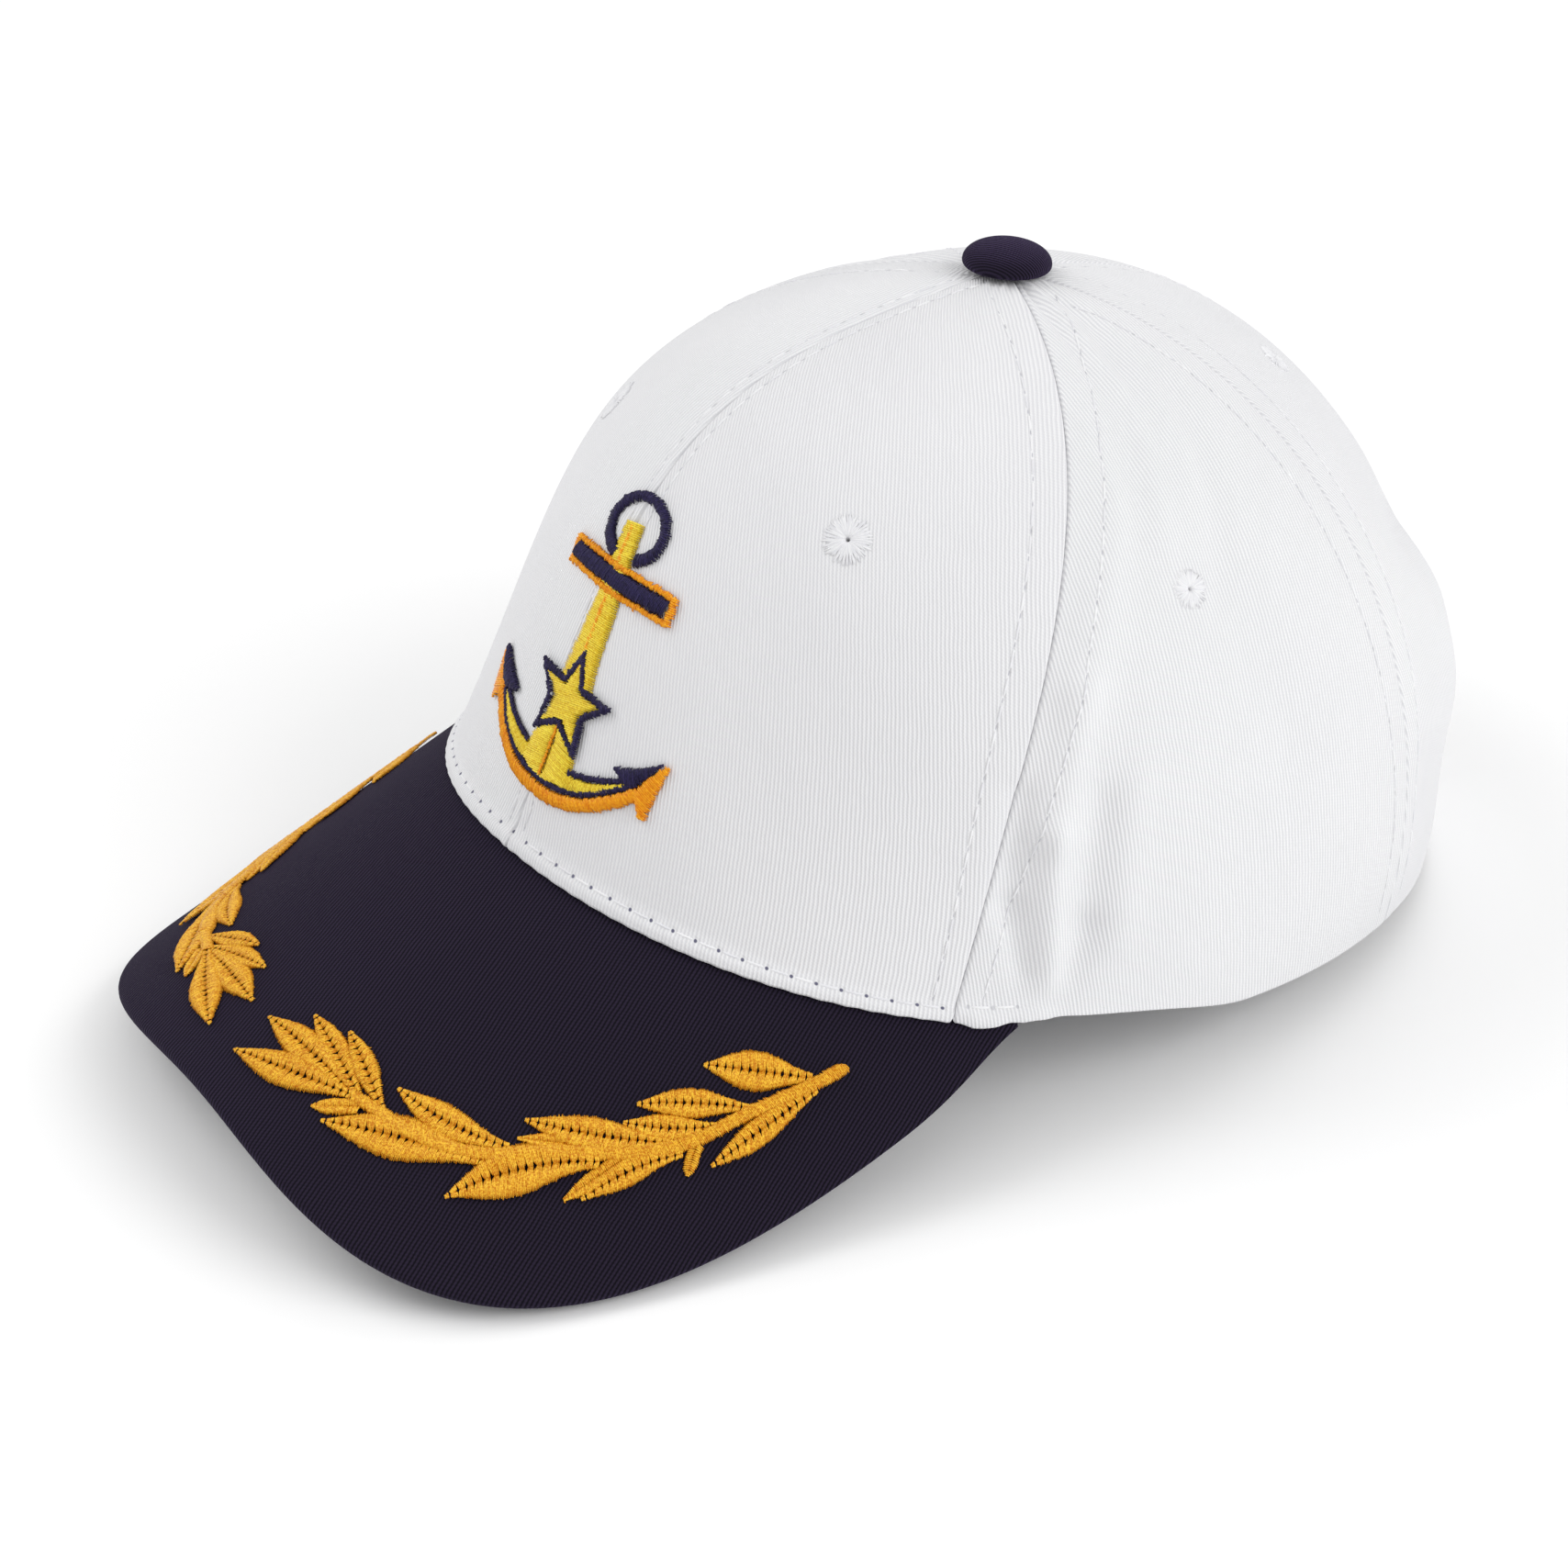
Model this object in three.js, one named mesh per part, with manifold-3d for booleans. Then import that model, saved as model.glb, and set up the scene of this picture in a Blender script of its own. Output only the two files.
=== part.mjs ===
// A captain's cap: six cloth panels sewn to a curved visor, with a covered button, sewn eyelets, an
// embroidered anchor on the front, a laurel spray on each half of the visor, and a closure strap
// across an arched opening at the back. Lengths are in millimetres and angles in degrees.
//
// The cap is drawn on its rim: the front is -Y, the wearer's left is +X and up is +Z. A place on the
// crown is a turn round the rim, 0 at the centre front and 180 at the centre back, and a share of the
// way up, 0 at the rim and 1 at the top. The finished cap is then tipped back until it rests on the
// front corners of its visor and on the back of its rim.

import * as THREE from 'three';
import { mergeVertices } from 'three/addons/utils/BufferGeometryUtils.js';
import Module from 'manifold-3d';

const wasm = await Module();
wasm.setup();

// Crown
const crownHalfWidth = 86.8;
const crownFront = 101.4;
const crownBack = 100.5;
const crownHeight = 107.1;
const crownRoundness = 2.07;
const apexSetback = 1.9;
const backDip = 2.3;
const frontWall = 1.8;
const softWall = 1.3;
const foldRelief = 3;
const lipRelief = 0.9;

// Seams: the turn of each one at the rim and at the top
const frontSeam = { rim: 51.7, top: 69.9 };
const backSeam = { rim: 117.1, top: 122.3 };

// Gaps between neighbouring pieces
const seamGap = 0.3;
const restGap = 0.3;

// Visor
const visorLength = 68;
const visorThickness = 3;
const visorRise = 15.1;
const visorSlope = 23.9;
const visorBend = 104.7;
const visorHalfTurn = 59;
const visorFlare = 2.3;
const visorCorners = 3.3;
const visorTuck = 4.5;
const sideEase = 31;

// Arched opening and closure strap at the back
const archHalfWidth = 42;
const archHeight = 64;
const archRoundness = 2.3;
const strapHeight = 26;
const strapThickness = 1.3;
const strapTuck = 14;
const strapLap = 18;

// Covered button
const buttonRadius = 8.8;
const buttonHeight = 5.6;
const buttonEdge = 1.1;
const buttonHole = 3;
const shankRadius = 2.2;
const shankLength = 6;

// Eyelets
const eyeletRadius = 3.6;
const eyeletHole = 1.3;
const eyeletHeight = 0.8;

// Embroidery
const anchorHeight = 57.3;
const anchorOffset = 2.1;
const anchorBase = 11.7;
const laurelStart = { left: 0, right: 9 };
const leafWidth = 8.2;
const stemWidth = 2.8;
const threadRelief = 0.8;

// The crown's upright profile at four turns. Lean is its tilt outward from the vertical at the rim and
// crest its fall towards the rim at the top. Rise is the length of the curve's lower handle as a share
// of the height above the rim, and reach that of its upper handle as a share of the radius.
const PROFILES = [
  { turn: 0, lean: -20.4, rise: 0.82, crest: 6.0, reach: 0.71 },
  { turn: 60, lean: -17.8, rise: 0.46, crest: 5.6, reach: 0.93 },
  { turn: 120, lean: 6.7, rise: 0.54, crest: 1.2, reach: 0.6 },
  { turn: 180, lean: -2.2, rise: 0.42, crest: 0.2, reach: 0.76 },
];

// Soft folds and dents, each along a line between two places on the left half. Spread is its half
// width in degrees of turn, lift its height as a share of the fold relief, and far what is left of it
// on the right half.
const FOLDS = [
  { name: 'upper ridge', turn: 73, up: 0.66, toTurn: 65, toUp: 0.39, spread: 3.5, lift: 0.25, far: 0.6 },
  { name: 'lower ridge', turn: 65, up: 0.39, toTurn: 61.5, toUp: 0.1, spread: 3, lift: 0.4, far: 0.6 },
  { name: 'seam valley', turn: 58.5, up: 0.18, toTurn: 58.5, toUp: 0.05, spread: 2.2, lift: -0.3, far: 0.6 },
  { name: 'pocket', turn: 67, up: 0.26, toTurn: 70.5, toUp: 0.2, spread: 3.2, lift: -0.4, far: 0.4 },
  { name: 'hem hollow', turn: 69.5, up: 0.16, toTurn: 68.5, toUp: 0, spread: 2.6, lift: -0.4, far: 0.4 },
  { name: 'hem ridge', turn: 66.8, up: 0.17, toTurn: 63, toUp: 0, spread: 1.8, lift: 0.45, far: 0.4 },
  { name: 'shoulder dent', turn: 96, up: 0.88, toTurn: 79, toUp: 0.7, spread: 5, lift: -0.25, far: 1 },
  { name: 'eyelet pinch', turn: 101, up: 0.74, toTurn: 89, toUp: 0.53, spread: 3.5, lift: -0.2, far: 1 },
  { name: 'arch flare', turn: 143, up: 0.31, toTurn: 142, toUp: 0.24, spread: 8, lift: 1, far: 1 },
  { name: 'arch dent', turn: 138, up: 0.43, toTurn: 150, toUp: 0.44, spread: 4, lift: -0.4, far: 1 },
  { name: 'strap tuck', turn: 127, up: 0.14, toTurn: 134, toUp: 0.12, spread: 5, lift: -0.5, far: 1 },
];

// Sewn eyelets of the left half; each has its twin on the right
const EYELETS = [
  { name: 'eyelet_front', turn: 30.5, up: 0.54 },
  { name: 'eyelet_side', turn: 83, up: 0.525 },
  { name: 'eyelet_back', turn: 150, up: 0.68 },
];

// The anchor's satin columns. Across, up and width are shares of the anchor's height, measured from
// the middle of its lowest edge; relief is a share of the thread relief.
const ANCHOR_COLUMNS = [
  {
    name: 'shank',
    relief: 0.8,
    path: [
      { across: -0.033, up: 0.888, width: 0.089 },
      { across: -0.017, up: 0.756, width: 0.092 },
      { across: 0, up: 0.668, width: 0.108 },
      { across: 0.003, up: 0.494, width: 0.131 },
      { across: 0.005, up: 0.32, width: 0.16 },
    ],
  },
  {
    name: 'stock',
    relief: 1,
    path: [
      { across: -0.267, up: 0.74, width: 0.086 },
      { across: -0.124, up: 0.724, width: 0.087 },
      { across: 0, up: 0.717, width: 0.087 },
      { across: 0.12, up: 0.721, width: 0.087 },
      { across: 0.264, up: 0.733, width: 0.092 },
    ],
  },
  {
    name: 'crown of the anchor',
    relief: 0.76,
    path: [
      { across: 0, up: 0.25, width: 0.13 },
      { across: -0.002, up: 0.162, width: 0.226 },
      { across: -0.002, up: 0.11, width: 0.22 },
      { across: -0.004, up: 0.061, width: 0.12 },
    ],
  },
  {
    name: 'left arm',
    relief: 0.72,
    path: [
      { across: -0.377, up: 0.225, width: 0.025 },
      { across: -0.281, up: 0.171, width: 0.065 },
      { across: -0.194, up: 0.122, width: 0.08 },
      { across: -0.115, up: 0.096, width: 0.085 },
      { across: -0.02, up: 0.08, width: 0.06 },
    ],
  },
  {
    name: 'right arm',
    relief: 0.72,
    path: [
      { across: 0.361, up: 0.211, width: 0.025 },
      { across: 0.277, up: 0.161, width: 0.056 },
      { across: 0.19, up: 0.113, width: 0.07 },
      { across: 0.112, up: 0.092, width: 0.075 },
      { across: 0.02, up: 0.08, width: 0.06 },
    ],
  },
  {
    name: 'outer band',
    relief: 0.92,
    path: [
      { across: -0.4, up: 0.21, width: 0.048 },
      { across: -0.298, up: 0.124, width: 0.046 },
      { across: -0.211, up: 0.068, width: 0.046 },
      { across: -0.124, up: 0.033, width: 0.046 },
      { across: -0.037, up: 0.024, width: 0.046 },
      { across: 0.051, up: 0.023, width: 0.046 },
      { across: 0.138, up: 0.037, width: 0.046 },
      { across: 0.225, up: 0.072, width: 0.046 },
      { across: 0.312, up: 0.131, width: 0.048 },
      { across: 0.4, up: 0.21, width: 0.05 },
    ],
  },
  {
    name: 'left fluke, outer',
    relief: 0.96,
    path: [
      { across: -0.466, up: 0.333, width: 0.012 },
      { across: -0.449, up: 0.276, width: 0.045 },
      { across: -0.426, up: 0.215, width: 0.073 },
      { across: -0.436, up: 0.162, width: 0.018 },
    ],
  },
  {
    name: 'left fluke, inner',
    relief: 1.04,
    path: [
      { across: -0.449, up: 0.337, width: 0.014 },
      { across: -0.394, up: 0.284, width: 0.052 },
      { across: -0.342, up: 0.248, width: 0.063 },
      { across: -0.26, up: 0.243, width: 0.012 },
    ],
  },
  {
    name: 'right fluke, outer',
    relief: 0.96,
    path: [
      { across: 0.452, up: 0.316, width: 0.012 },
      { across: 0.431, up: 0.25, width: 0.052 },
      { across: 0.41, up: 0.194, width: 0.07 },
      { across: 0.422, up: 0.134, width: 0.018 },
    ],
  },
  {
    name: 'right fluke, inner',
    relief: 1.04,
    path: [
      { across: 0.438, up: 0.319, width: 0.014 },
      { across: 0.391, up: 0.27, width: 0.042 },
      { across: 0.344, up: 0.236, width: 0.063 },
      { across: 0.269, up: 0.227, width: 0.012 },
    ],
  },
];

// The ring at the head of the anchor, an arc of an ellipse open below, in shares of its height
const ANCHOR_RING = { across: -0.017, up: 0.883, wide: 0.124, tall: 0.099, width: 0.044, from: -65, to: 245 };

// The star's centre and tips, in shares of the anchor's height, and its spikes' width at the centre
const STAR = {
  across: 0.005,
  up: 0.32,
  width: 0.15,
  tips: [
    { across: 0.009, up: 0.485 },
    { across: -0.173, up: 0.389 },
    { across: -0.105, up: 0.183 },
    { across: 0.12, up: 0.171 },
    { across: 0.192, up: 0.372 },
  ],
};

// Laurel leaves of the left spray. Tip and base are shares of the visor's half arc across and of its
// length along; width is a share of the leaf width, bow a share of the leaf's own length to its left.
const LEAVES = [
  { tipAcross: 0, tipAlong: 0.87, baseAcross: 0.27, baseAlong: 0.71, width: 0.8, bow: 0.02 },
  { tipAcross: -0.02, tipAlong: 0.75, baseAcross: 0.25, baseAlong: 0.71, width: 0.56, bow: 0 },
  { tipAcross: 0.05, tipAlong: 0.66, baseAcross: 0.29, baseAlong: 0.7, width: 0.42, bow: 0 },
  { tipAcross: 0.14, tipAlong: 0.62, baseAcross: 0.34, baseAlong: 0.67, width: 0.34, bow: 0 },
  { tipAcross: 0.23, tipAlong: 0.81, baseAcross: 0.3, baseAlong: 0.71, width: 0.26, bow: 0 },
  { tipAcross: 0.27, tipAlong: 0.81, baseAcross: 0.54, baseAlong: 0.52, width: 0.94, bow: 0 },
  { tipAcross: 0.31, tipAlong: 0.61, baseAcross: 0.55, baseAlong: 0.45, width: 0.56, bow: 0.06 },
  { tipAcross: 0.55, tipAlong: 0.65, baseAcross: 0.66, baseAlong: 0.32, width: 1, bow: -0.06 },
  { tipAcross: 0.54, tipAlong: 0.43, baseAcross: 0.67, baseAlong: 0.23, width: 0.4, bow: 0 },
  { tipAcross: 0.52, tipAlong: 0.39, baseAcross: 0.73, baseAlong: 0.09, width: 0.7, bow: 0.03 },
  { tipAcross: 0.69, tipAlong: 0.4, baseAcross: 0.7, baseAlong: 0.2, width: 0.38, bow: 0 },
  { tipAcross: 0.71, tipAlong: 0.36, baseAcross: 0.76, baseAlong: 0.07, width: 0.55, bow: -0.05 },
  { tipAcross: 0.64, tipAlong: 0.18, baseAcross: 0.76, baseAlong: -0.04, width: 0.38, bow: 0.04 },
  { tipAcross: 0.63, tipAlong: 0.13, baseAcross: 0.77, baseAlong: -0.13, width: 0.58, bow: -0.02 },
  { tipAcross: 0.8, tipAlong: 0.09, baseAcross: 0.76, baseAlong: 0.03, width: 0.26, bow: 0 },
  { tipAcross: 0.81, tipAlong: 0.03, baseAcross: 0.82, baseAlong: -0.31, width: 0.6, bow: 0 },
  { tipAcross: 0.65, tipAlong: -0.07, baseAcross: 0.8, baseAlong: -0.31, width: 0.78, bow: 0 },
];

// The stem of the left spray, from its foot beside the crown to the leaves at the centre front
const STEM = [
  { across: 0.82, along: -0.4 },
  { across: 0.81, along: -0.31 },
  { across: 0.79, along: -0.2 },
  { across: 0.77, along: -0.09 },
  { across: 0.76, along: 0.01 },
  { across: 0.73, along: 0.12 },
  { across: 0.69, along: 0.21 },
  { across: 0.64, along: 0.3 },
  { across: 0.58, along: 0.41 },
  { across: 0.54, along: 0.5 },
  { across: 0.48, along: 0.58 },
  { across: 0.4, along: 0.65 },
  { across: 0.33, along: 0.68 },
  { across: 0.27, along: 0.71 },
];

// Colours
const WHITE = 0xf1f1f1;
const NAVY = 0x1d1828;
const GOLD = 0xf0a820;
const YELLOW = 0xe8cc3c;

const rad = THREE.MathUtils.degToRad;
const deg = THREE.MathUtils.radToDeg;
const lerp = THREE.MathUtils.lerp;
const smooth = THREE.MathUtils.smoothstep;

// Solves the even cosine series that passes through a column's four values
function cosineSeries(column) {
  const [a, b, c, d] = PROFILES.map((row) => row[column]);
  return [
    (a + 2 * b + 2 * c + d) / 6,
    (a + b - c - d) / 3,
    (a - b - c + d) / 3,
    (a - 2 * b + 2 * c - d) / 6,
  ];
}

const SERIES = {
  lean: cosineSeries('lean'),
  rise: cosineSeries('rise'),
  crest: cosineSeries('crest'),
  reach: cosineSeries('reach'),
};

function around(column, turn) {
  return SERIES[column].reduce((sum, value, k) => sum + value * Math.cos(k * rad(turn)), 0);
}

// Height of the visor's upper face over a place in front of the crown's middle line
function visorHeight(x, y) {
  const ahead = -y - crownFront;
  const reach = Math.min(Math.abs(x), 0.98 * visorBend);
  const fall = visorBend - Math.sqrt(visorBend ** 2 - reach ** 2);
  return visorRise - Math.tan(rad(visorSlope)) * ahead - fall;
}

// The rim's outline seen from above
function rimOutline(turn) {
  const s = Math.sin(rad(turn));
  const c = Math.cos(rad(turn));
  const depth = c > 0 ? crownFront : crownBack;
  const sum = Math.abs(s / crownHalfWidth) ** crownRoundness + Math.abs(c / depth) ** crownRoundness;
  const radius = sum ** (-1 / crownRoundness);
  return { x: radius * s, y: -radius * c };
}

// The rim's height before the cloth settles: on the visor in front, easing to a low back
function freeRimHeight(x, y, turn) {
  const onVisor = 1 - smooth(Math.abs(turn), visorHalfTurn - 1, visorHalfTurn + sideEase);
  const back = (-backDip * (1 - Math.cos(rad(turn)))) / 2;
  return onVisor * (visorHeight(x, y) + restGap) + (1 - onVisor) * back;
}

// The visor's outer edge, for an edge share from -1 at the right end to 1 at the left end
function visorEdge(share) {
  const end = rimOutline(visorHalfTurn);
  const halfWidth = end.x + visorFlare;
  const length = crownFront + visorLength * Math.cos(rad(visorSlope)) + end.y;
  const s = Math.sin((share * Math.PI) / 2);
  const c = Math.cos((share * Math.PI) / 2);
  const radius = (Math.abs(s) ** visorCorners + Math.abs(c) ** visorCorners) ** (-1 / visorCorners);
  return { x: halfWidth * radius * s, y: end.y - length * radius * c };
}

const visorHalfArc = visorBend * Math.asin(visorEdge(1).x / visorBend);

// A point over the visor's upper face, lifted along its normal
function visorPoint(x, y, lift) {
  const slopeX = -x / Math.sqrt(visorBend ** 2 - x ** 2);
  const slopeY = Math.tan(rad(visorSlope));
  const normal = new THREE.Vector3(-slopeX, -slopeY, 1).normalize();
  return new THREE.Vector3(x, y, visorHeight(x, y)).addScaledVector(normal, lift);
}

// How the cap rests: tipped back until the visor's corners and the back rim are equally low
function restingPose() {
  const front = [];
  const back = [];
  for (let k = 0; k <= 60; k += 1) {
    const edge = visorEdge(k / 60);
    front.push(visorPoint(edge.x, edge.y, -visorThickness));
    const turn = 90 + 1.5 * k;
    const rim = rimOutline(turn);
    back.push(new THREE.Vector3(rim.x, rim.y, freeRimHeight(rim.x, rim.y, turn)));
  }
  const lowest = (points, tip) => Math.min(...points.map((p) => p.z * Math.cos(tip) - p.y * Math.sin(tip)));
  let low = 0;
  let high = rad(30);
  for (let k = 0; k < 40; k += 1) {
    const tip = (low + high) / 2;
    if (lowest(front, tip) < lowest(back, tip)) low = tip;
    else high = tip;
  }
  return { tip: high, floor: lowest(back, high) };
}

const rest = restingPose();

// Height of the surface that the cap rests on, in the cap's own upright frame
function floorHeight(y) {
  return (rest.floor + y * Math.sin(rest.tip)) / Math.cos(rest.tip);
}

// The rim's height once the cloth at the back has settled flat
function rimHeight(x, y, turn) {
  const settled = smooth(Math.abs(turn), backSeam.rim, 180 - deg(archHalfWidth / crownBack));
  return lerp(freeRimHeight(x, y, turn), floorHeight(y), settled);
}

// Outward relief of folds, dents and the turned lip over the visor. A profile is about a third longer
// than the crown is high, which puts heights and turns on one scale.
function relief(turn, up) {
  const side = Math.abs(turn);
  const degreesUp = deg((1.35 * crownHeight) / crownHalfWidth);
  let sum = 0;
  for (const fold of FOLDS) {
    const run = { x: fold.toTurn - fold.turn, y: (fold.toUp - fold.up) * degreesUp };
    const from = { x: side - fold.turn, y: (up - fold.up) * degreesUp };
    const along = (from.x * run.x + from.y * run.y) / (run.x ** 2 + run.y ** 2);
    const share = THREE.MathUtils.clamp(along, 0, 1);
    const away = Math.hypot(from.x - share * run.x, from.y - share * run.y) / fold.spread;
    sum += foldRelief * fold.lift * (turn < 0 ? fold.far : 1) * Math.exp(-(away ** 2));
  }
  const lip = 1 - smooth(up, 0.02, 0.035);
  return sum + lipRelief * lip * (1 - smooth(side, visorHalfTurn - 6, visorHalfTurn));
}

// The crown's smooth outer face
function smoothCrown(turn, up) {
  const rim = rimOutline(turn);
  const z = rimHeight(rim.x, rim.y, turn);
  const dx = rim.x;
  const dy = rim.y - apexSetback;
  const radius = Math.hypot(dx, dy);
  const lean = rad(around('lean', turn));
  const crest = rad(around('crest', turn));
  const rise = around('rise', turn) * (crownHeight - z);
  const reach = around('reach', turn) * radius;
  const curve = new THREE.CubicBezierCurve(
    new THREE.Vector2(radius, z),
    new THREE.Vector2(radius + rise * Math.sin(lean), z + rise * Math.cos(lean)),
    new THREE.Vector2(reach * Math.cos(crest), crownHeight - reach * Math.sin(crest)),
    new THREE.Vector2(0, crownHeight),
  );
  const point = curve.getPoint(up);
  return new THREE.Vector3((point.x * dx) / radius, apexSetback + (point.x * dy) / radius, point.y);
}

// Outward normal of the smooth crown
function crownNormal(turn, up) {
  const low = Math.max(up - 0.004, 0);
  const high = Math.min(up + 0.004, 0.996);
  const acrossFace = smoothCrown(turn + 0.5, up).sub(smoothCrown(turn - 0.5, up));
  const upFace = smoothCrown(turn, high).sub(smoothCrown(turn, low));
  return acrossFace.cross(upFace).normalize();
}

// A point off the crown's outer face, with its folds, by a lift along the normal
function crownPoint(turn, up, lift, folded = 1) {
  const amount = lift + folded * relief(turn, up);
  return smoothCrown(turn, up).addScaledVector(crownNormal(turn, up), amount);
}

// A point of the crown's lower edge, cut level with the visor or the floor
function hemPoint(turn, lift, folded = 1) {
  const point = crownPoint(turn, 0, lift, folded);
  point.z = rimHeight(point.x, point.y, turn);
  return point;
}

// The share of the way up at which the crown closes in to the hole under the button
function topShare(turn) {
  let low = 0.5;
  let high = 1;
  for (let k = 0; k < 30; k += 1) {
    const middle = (low + high) / 2;
    const point = smoothCrown(turn, middle);
    if (Math.hypot(point.x, point.y - apexSetback) > buttonHole) low = middle;
    else high = middle;
  }
  return low;
}

// Share of the way up at a height over the floor, found on the smooth crown
function shareAtHeight(turn, height) {
  let low = 0;
  let high = 1;
  for (let k = 0; k < 30; k += 1) {
    const middle = (low + high) / 2;
    const point = smoothCrown(turn, middle);
    if (point.z - floorHeight(point.y) < height) low = middle;
    else high = middle;
  }
  return low;
}

function seamTurn(seam, up) {
  return lerp(seam.rim, seam.top, up);
}

// Half of the seam gap as a turn at a place
function halfGap(turn, up) {
  const point = smoothCrown(turn, up);
  return deg(seamGap / 2 / Math.hypot(point.x, point.y - apexSetback));
}

// A closed body from two matching grids of points, an outer and an inner one, walled along the edges
function wallBody(columns, rows, outer, inner) {
  const points = [];
  const faces = [];
  const count = (columns + 1) * (rows + 1);
  for (const face of [outer, inner]) {
    for (let i = 0; i <= columns; i += 1) {
      for (let j = 0; j <= rows; j += 1) points.push(face(i, j));
    }
  }
  const at = (layer, i, j) => layer * count + i * (rows + 1) + j;
  const quad = (a, b, c, d) => faces.push(a, b, c, a, c, d);
  for (let i = 0; i < columns; i += 1) {
    for (let j = 0; j < rows; j += 1) {
      quad(at(0, i, j), at(0, i + 1, j), at(0, i + 1, j + 1), at(0, i, j + 1));
      quad(at(1, i, j), at(1, i, j + 1), at(1, i + 1, j + 1), at(1, i + 1, j));
    }
    quad(at(0, i, 0), at(1, i, 0), at(1, i + 1, 0), at(0, i + 1, 0));
    quad(at(0, i, rows), at(0, i + 1, rows), at(1, i + 1, rows), at(1, i, rows));
  }
  for (let j = 0; j < rows; j += 1) {
    quad(at(0, 0, j), at(0, 0, j + 1), at(1, 0, j + 1), at(1, 0, j));
    quad(at(0, columns, j), at(1, columns, j), at(1, columns, j + 1), at(0, columns, j + 1));
  }
  return facingOut(points, faces);
}

// Makes the geometry, turning every face over if the body came out inside out
function facingOut(points, faces) {
  let volume = 0;
  for (let k = 0; k < faces.length; k += 3) {
    const [a, b, c] = [points[faces[k]], points[faces[k + 1]], points[faces[k + 2]]];
    volume += a.dot(new THREE.Vector3().crossVectors(b, c));
  }
  const geometry = new THREE.BufferGeometry().setFromPoints(points);
  geometry.setIndex(volume > 0 ? faces : faces.slice().reverse());
  return geometry;
}

function toSolid(geometry) {
  const bare = geometry.clone();
  bare.deleteAttribute('normal');
  bare.deleteAttribute('uv');
  const merged = mergeVertices(bare, 1e-4);
  const vertProperties = merged.attributes.position.array;
  const triVerts = Uint32Array.from(merged.index.array);
  return new wasm.Manifold(new wasm.Mesh({ numProp: 3, vertProperties, triVerts }));
}

function toGeometry(solid) {
  const mesh = solid.getMesh();
  const geometry = new THREE.BufferGeometry();
  geometry.setAttribute('position', new THREE.BufferAttribute(mesh.vertProperties, 3));
  geometry.setIndex(new THREE.BufferAttribute(mesh.triVerts, 1));
  return geometry;
}

// Turns a body drawn upright at the origin so that its axis stands on the crown at a place
function placeOnCrown(geometry, turn, up, lift) {
  const normal = crownNormal(turn, up);
  const point = crownPoint(turn, up, lift);
  const turned = new THREE.Quaternion().setFromUnitVectors(new THREE.Vector3(0, 0, 1), normal);
  const place = new THREE.Matrix4().compose(point, turned, new THREE.Vector3(1, 1, 1));
  return geometry.clone().applyMatrix4(place);
}

// Cuts the small thread-bound hole of each eyelet that lies on a panel
function pierced(panel, eyelets) {
  let solid = toSolid(panel);
  for (const { turn, up } of eyelets) {
    const drill = new THREE.CylinderGeometry(eyeletHole, eyeletHole, 12, 8).rotateX(Math.PI / 2);
    solid = solid.subtract(toSolid(placeOnCrown(drill, turn, up, 0)));
  }
  return toGeometry(solid);
}

// A front or side panel between two seams, from the rim to the hole under the button
function gorePanel(side, fromSeam, toSeam, columns, wall) {
  const low = [0, 0.02, 0.037, 0.075, 0.12, 0.165, 0.21, 0.26];
  const ups = [...low, 0.32, 0.39, 0.47, 0.56, 0.66, 0.76, 0.86, 0.94, 1];
  const place = (i, j) => {
    const share = ups[j];
    const from = seamTurn(fromSeam, share);
    const to = seamTurn(toSeam, share);
    const start = from + halfGap(from, share * topShare(from));
    const end = to - halfGap(to, share * topShare(to));
    const turn = lerp(start, end, i / columns);
    return { turn: side * turn, up: share * topShare(turn) };
  };
  const face = (lift) => (i, j) => {
    const { turn, up } = place(i, j);
    return j === 0 ? hemPoint(turn, lift) : crownPoint(turn, up, lift);
  };
  return wallBody(columns, ups.length - 1, face(0), face(-wall));
}

// A back panel, drawn in rays that fan out from the foot of the arch to the seam and the top
function backPanel(side) {
  const rays = 16;
  const rings = 8;
  const archTurn = deg(archHalfWidth / crownBack);
  const archShare = shareAtHeight(180, archHeight);
  const halfSpan = 180 - backSeam.rim;
  const place = (i, j) => {
    const bearing = (i / rays) * (Math.PI / 2);
    const s = Math.sin(bearing);
    const c = Math.cos(bearing);
    const arch = (s * halfSpan / archTurn) ** archRoundness + (c / archShare) ** archRoundness;
    const near = arch ** (-1 / archRoundness);
    const lean = backSeam.top - backSeam.rim;
    const far = Math.min(halfSpan / (s * halfSpan + c * lean), 1 / Math.max(c, 1e-6));
    const reach = lerp(near, far, (j / rings) ** 0.9);
    const share = Math.min(reach * c, 1);
    const turn = 180 - reach * s * halfSpan;
    const seam = seamTurn(backSeam, share);
    const least = seam + halfGap(seam, share * topShare(seam));
    const most = 180 - halfGap(180, share * topShare(180));
    const inside = THREE.MathUtils.clamp(turn, least, most);
    return { turn: side * inside, up: share * topShare(inside) };
  };
  const face = (lift) => (i, j) => {
    const { turn, up } = place(i, j);
    return i === rays ? hemPoint(turn, lift) : crownPoint(turn, up, lift);
  };
  return wallBody(rays, rings, face(0), face(-softWall));
}

// The visor, a bent sheet from under the crown's front edge to its rounded outer edge
function visorBody() {
  const columns = 32;
  const rows = 6;
  const place = (i, j) => {
    const share = (2 * i) / columns - 1;
    const rim = rimOutline(share * visorHalfTurn);
    const tuck = 1 - visorTuck / Math.hypot(rim.x, rim.y);
    const edge = visorEdge(share);
    return { x: lerp(rim.x * tuck, edge.x, j / rows), y: lerp(rim.y * tuck, edge.y, j / rows) };
  };
  const face = (lift) => (i, j) => {
    const { x, y } = place(i, j);
    return visorPoint(x, y, lift);
  };
  return wallBody(columns, rows, face(0), face(-visorThickness));
}

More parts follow.
